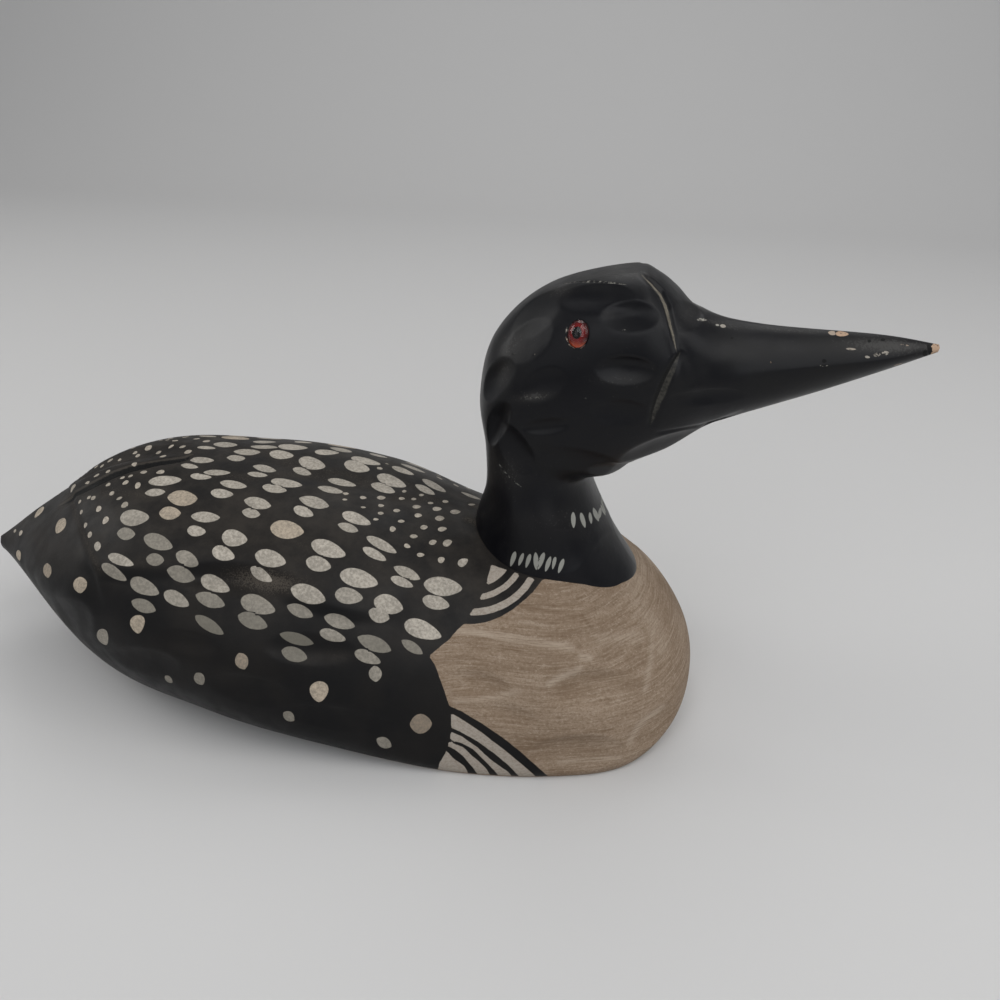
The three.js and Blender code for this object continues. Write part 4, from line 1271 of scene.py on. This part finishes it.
def body_paint():
    """Black, spots, breast and bare underside laid over each other by masks."""
    material, tree, shader = finish_named("body_paint")
    dust_and_sheen = read(tree, "dust_and_sheen")
    mask, tone, warm, chance = brushed_mark(tree, 0.16, 0.05)
    mottle = grain(tree, 900, 5.0, rough=0.65)
    spot = spot_cream(tree, tone, warm, chance, mottle)
    dark = blend(tree, maths(tree, "MULTIPLY", mask, 0.96), black_with_dust_and_painted_light(tree, dust_and_sheen), spot)
    fine_streak = grain(tree, 480, 4.0, (0.16, 0.16, 4.0), 0.7)
    edge = maths(tree, "MULTIPLY_ADD", grain(tree, 300, 3.0), 1.2, read(tree, "breast"))
    front = ramp(tree, edge, 0.3, 0.9)
    colour = blend(tree, front, dark, brushed_tan(tree, fine_streak))
    here = put(tree, "ShaderNodeTexCoord").outputs["Object"]
    height = put(tree, "ShaderNodeSeparateXYZ", {0: here}).outputs[2]
    base = ramp(tree, height, *PAINT_FOOT)
    wood = blend(tree, grain(tree, 60, 4.0, (0.15, 2.0, 2.0)), WOOD_GRAIN, BARE_WOOD)
    tree.links.new(blend(tree, base, colour, wood), shader.inputs["Base Color"])
    gloss = ramp(tree, grain(tree, 90, 4.0), 0.3, 0.7, 0.4, 0.55)
    rough = maths(tree, "MULTIPLY_ADD", maths(tree, "MAXIMUM", front, dust_and_sheen), 0.3, gloss)
    tree.links.new(rough, shader.inputs["Roughness"])
    shader.inputs["Specular IOR Level"].default_value = BODY_SHEEN
    ripple = maths(tree, "MULTIPLY", maths(tree, "MULTIPLY", fine_streak, front), 0.5)
    ripple = maths(tree, "MULTIPLY_ADD", mottle, 0.35, ripple)
    ripple = maths(tree, "MULTIPLY_ADD", mask, 0.25, ripple)
    bump = put(tree, "ShaderNodeBump", {"Height": ripple, "Strength": 0.3, "Distance": 0.0005})
    tree.links.new(bump.outputs[0], shader.inputs["Normal"])
    return material


body.data.materials.append(body_paint())
print("body paint:", len(body.data.materials[0].node_tree.nodes), "nodes")

# %% [markdown]
# ## Head paint
# The head has a smoother, bluer black with a satin shine, worn in places, with painted highlights
# on the bill's top and over the crown. The wall of the knife cut at the bill's base is worn to pale
# wood, and the cut below it is grey with dust on one wall and painted shadow in its depth.

# %% Head paint
HEAD_BLACK = (0.0026, 0.0027, 0.0042)
HEAD_RUBBED = (0.005, 0.005, 0.0056)
STROKE = (0.27, 0.27, 0.245)
CUT_WOOD = (0.17, 0.152, 0.12)
CUT_DUST = (0.05, 0.047, 0.04)
CHIP_WOOD = (0.42, 0.29, 0.2)
HEAD_WEAR_AND_SHEEN = (0.03, 0.028, 0.026)
SPARK = (0.055, 0.054, 0.052)  # pin-pricks of primer, thickest in the worn places and the painted highlights
DEEP_BLACK = (0.003, 0.003, 0.003)
MOUTH_BLACK = (0.002, 0.002, 0.002)
HEAD_SHEEN = 0.21


def wall_of_cut(tree, name, side):
    """1 on one wall of a knife cut: where the signed distance lies between 0 and the wall."""
    off = maths(tree, "MULTIPLY", read(tree, name + "_off"), side)
    wall = read(tree, name + "_wall")
    shaken = maths(tree, "MULTIPLY_ADD", grain(tree, 500, 3.0), 2.0, off)
    outer = ramp(tree, maths(tree, "SUBTRACT", wall, shaken), -0.2, 1.6)
    return maths(tree, "MULTIPLY", outer, ramp(tree, off, 0.1, 0.7))


def head_paint():
    """Satin black, worn in places and with painted highlights on the bill's top and crown, with the
    worn cut, painted shadow in the cut below it, the mouth line, necklace strokes and chips.
    """
    material, tree, shader = finish_named("head_paint")
    cloudy = ramp(tree, grain(tree, 35, 5.0), 0.4, 0.75)
    black = blend(tree, cloudy, HEAD_BLACK, HEAD_RUBBED)
    wear_and_sheen = read(tree, "wear_and_sheen")
    # worn places, and painted highlights on the bill's top and over the crown
    black = blend(tree, maths(tree, "MULTIPLY", wear_and_sheen, 0.8), black, HEAD_WEAR_AND_SHEEN)
    spark = maths(tree, "MULTIPLY", specks(tree, 1100, maths(tree, "ADD", wear_and_sheen, 0.12)), 0.4)
    black = blend(tree, spark, black, SPARK)
    mottle = grain(tree, 700, 4.0, rough=0.7)
    worn = maths(tree, "MULTIPLY", wall_of_cut(tree, "upper", 1), ramp(tree, mottle, 0.3, 0.6, 0.5, 1.0))
    colour = blend(tree, worn, black, CUT_WOOD)
    dusty = maths(tree, "MULTIPLY", wall_of_cut(tree, "lower", -1), ramp(tree, mottle, 0.3, 0.65, 0.2, 1.0))
    colour = blend(tree, dusty, colour, CUT_DUST)
    # painted shadow in the depth of the lower cut
    colour = blend(tree, ramp(tree, read(tree, "lower_shade"), -0.4, 0.6), colour, DEEP_BLACK)
    line = ramp(tree, read(tree, "mouth_off"), 0.9, 0.3)
    colour = blend(tree, line, colour, MOUTH_BLACK)
    mask, tone, warm, chance = brushed_mark(tree, 0.4, 0.1)
    pale = blend(tree, warm, STROKE, CHIP_WOOD)
    chip = blend(tree, ramp(tree, tone, 0.0, 0.35), DEEP_BLACK, pale)
    thin = maths(tree, "MULTIPLY_ADD", tone, -0.35, 0.62)
    kept = ramp(tree, maths(tree, "SUBTRACT", mottle, thin), -0.06, 0.06)
    kept = maths(tree, "MAXIMUM", kept, ramp(tree, tone, 0.1, 0.02))
    colour = blend(tree, maths(tree, "MULTIPLY", mask, kept), colour, chip)
    tree.links.new(colour, shader.inputs["Base Color"])
    gloss = ramp(tree, grain(tree, 70, 4.0), 0.3, 0.7, 0.3, 0.42)
    rough = maths(tree, "MULTIPLY_ADD", maths(tree, "MAXIMUM", worn, mask), 0.3, gloss)
    tree.links.new(rough, shader.inputs["Roughness"])
    shader.inputs["Specular IOR Level"].default_value = HEAD_SHEEN
    ripple = maths(tree, "MULTIPLY_ADD", mask, -0.6, grain(tree, 220, 5.0))
    bump = put(tree, "ShaderNodeBump", {"Height": ripple, "Strength": 0.2, "Distance": 0.0005})
    tree.links.new(bump.outputs[0], shader.inputs["Normal"])
    return material


head.data.materials.append(head_paint())
print("head paint:", len(head.data.materials[0].node_tree.nodes), "nodes")

# %% [markdown]
# ## Eye glass and eye paint
# The glass is clear and polished. The bead inside it is red, darker towards its rim, with a black
# pupil, and a painted glow low down, where a real lens gathers the light from above. A flat painted
# disc would show its edge from the side, so the colour goes by the angle off the eye's axis.

# %% Eye glass and eye paint
EYE_RED = (0.24, 0.006, 0.006)
EYE_DARK_RED = (0.05, 0.002, 0.002)
EYE_GLOW = (0.85, 0.13, 0.04)  # painted glow, where light from above would gather low in the bead
PUPIL = (0.003, 0.003, 0.003)
PUPIL_SHARE = 0.42
GLASS_TINT = (1.0, 0.93, 0.92, 1.0)
GLASS_INDEX = 1.45
GLASS_ROUGHNESS = 0.02


def clear_glass():
    """Clear, polished glass by plain values."""
    material, tree, shader = finish_named("eye_glass")
    shader.inputs["Base Color"].default_value = GLASS_TINT
    shader.inputs["Roughness"].default_value = GLASS_ROUGHNESS
    shader.inputs["IOR"].default_value = GLASS_INDEX
    shader.inputs["Transmission Weight"].default_value = 1.0
    return material


def eye_paint():
    """Red round a black pupil by the angle off the eye's axis, with a painted glow low down."""
    material, tree, shader = finish_named("eye_paint")
    off = maths(tree, "MULTIPLY_ADD", grain(tree, 900, 3.0), 0.08, read(tree, "off_axis"))
    iris = blend(tree, ramp(tree, off, 0.5, 0.95), EYE_RED, EYE_DARK_RED)
    here = put(tree, "ShaderNodeTexCoord").outputs["Normal"]
    down = put(tree, "ShaderNodeSeparateXYZ", {0: here}).outputs[2]
    # painted glow where the lens would gather light from above
    iris = blend(tree, ramp(tree, down, 0.0, -0.5, 0.0, 0.9), iris, EYE_GLOW)
    colour = blend(tree, ramp(tree, off, PUPIL_SHARE, PUPIL_SHARE + 0.08), PUPIL, iris)
    tree.links.new(colour, shader.inputs["Base Color"])
    shader.inputs["Roughness"].default_value = 0.5
    shader.inputs["Specular IOR Level"].default_value = 0.1
    return material


glass_finish, iris_finish = clear_glass(), eye_paint()
for glass, core, _ in eyes.values():
    glass.data.materials.append(glass_finish)
    core.data.materials.append(iris_finish)
print("eye finishes:", glass_finish.name, "and", iris_finish.name)

# %% [markdown]
# ## Floor and light
# A pale sweep that curves up behind the decoy, so that no line shows where floor meets wall. The
# light comes from large soft panels all round and a weak even tent. One strong lamp would throw a
# hard shadow and leave the dark carving without the soft sheens that show its hollows.

# %% Floor
FLOOR_NEAR = -900
FLOOR_FAR = 900
FLOOR_HALF = 1500
COVE = 500
WALL_TOP = 2200
FLAT_STEPS = 12
COVE_STEPS = 24
ACROSS = 4
FLOOR_PAPER = (0.6, 0.595, 0.59, 1.0)


def sweep():
    """A floor that turns up in a quarter circle at the back, as one grid of two parameters."""
    flat = np.stack([np.linspace(FLOOR_NEAR, FLOOR_FAR, FLAT_STEPS), np.zeros(FLAT_STEPS)], -1)
    turn = np.linspace(0, np.pi / 2, COVE_STEPS)[1:]
    cove = np.stack([FLOOR_FAR + COVE * np.sin(turn), COVE - COVE * np.cos(turn)], -1)
    wall = np.array([[FLOOR_FAR + COVE, WALL_TOP]])
    profile = np.concatenate([flat, cove, wall])
    across = np.linspace(-FLOOR_HALF, FLOOR_HALF, ACROSS) + BODY_LENGTH / 2
    points = [(x, y, z) for y, z in profile for x in across]
    faces = [
        (k, k + 1, k + 1 + ACROSS, k + ACROSS)
        for i in range(len(profile) - 1)
        for k in range(i * ACROSS, i * ACROSS + ACROSS - 1)
    ]
    mesh = bpy.data.meshes.new("floor")
    mesh.from_pydata(to_metres(points).tolist(), [], faces)
    mesh.polygons.foreach_set("use_smooth", np.ones(len(faces), bool))
    made = bpy.data.objects.new("floor", mesh)
    bpy.context.scene.collection.objects.link(made)
    return made


floor = sweep()
material, tree, shader = finish_named("floor_paper")
shader.inputs["Base Color"].default_value = FLOOR_PAPER
shader.inputs["Roughness"].default_value = 0.9
floor.data.materials.append(material)
floor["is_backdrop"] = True
print("floor:", len(floor.data.polygons), "faces")

# %% Light
PANEL_AIM = np.array([220.0, 0.0, 80.0])
PANEL_SIZE = 800
PLAIN_WHITE = (1, 1, 1)
WARM_WHITE = (1.0, 0.99, 0.97)
# name, place, power in watts, colour
PANELS = [
    ("key_panel", (810, -340, 1130), 4.2, WARM_WHITE),
    ("back_panel", (300, 680, 1130), 3.2, PLAIN_WHITE),
    ("tail_panel", (-860, 0, 710), 4.4, WARM_WHITE),
    ("bill_panel", (1300, 0, 710), 2.0, PLAIN_WHITE),
    ("front_panel", (790, -990, 590), 2.6, (0.95, 0.97, 1.0)),
    ("near_panel", (190, -840, 1010), 2.8, (0.97, 0.98, 1.0)),
    ("low_panel", (-350, -990, 590), 1.0, PLAIN_WHITE),
]
TENT = (0.8, 0.82, 0.85, 1.0)
TENT_STRENGTH = 0.3


def panel(name, place, power, colour):
    """A square soft light at a place, turned to the decoy."""
    light = bpy.data.lights.new(name, "AREA")
    light.shape = "SQUARE"
    light.size = PANEL_SIZE * MM
    light.energy = power
    light.color = colour
    made = bpy.data.objects.new(name, light)
    bpy.context.scene.collection.objects.link(made)
    towards = PANEL_AIM - place
    made.location = to_metres(place).tolist()
    made.rotation_mode = "QUATERNION"
    made.rotation_quaternion = Vector(towards.tolist()).to_track_quat("-Z", "Y")
    return made


for described in PANELS:
    panel(*described)
world = bpy.data.worlds.new("tent")
world.use_nodes = True
world.node_tree.nodes["Background"].inputs["Color"].default_value = TENT
world.node_tree.nodes["Background"].inputs["Strength"].default_value = TENT_STRENGTH
bpy.context.scene.world = world
bpy.context.scene.view_settings.view_transform = "Standard"
print("soft panels:", len(PANELS))

# %% Measure the size and finish
bpy.context.view_layer.update()
low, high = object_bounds()
print("box of the skins ", [round(v, 4) for v in (*low, *high)])
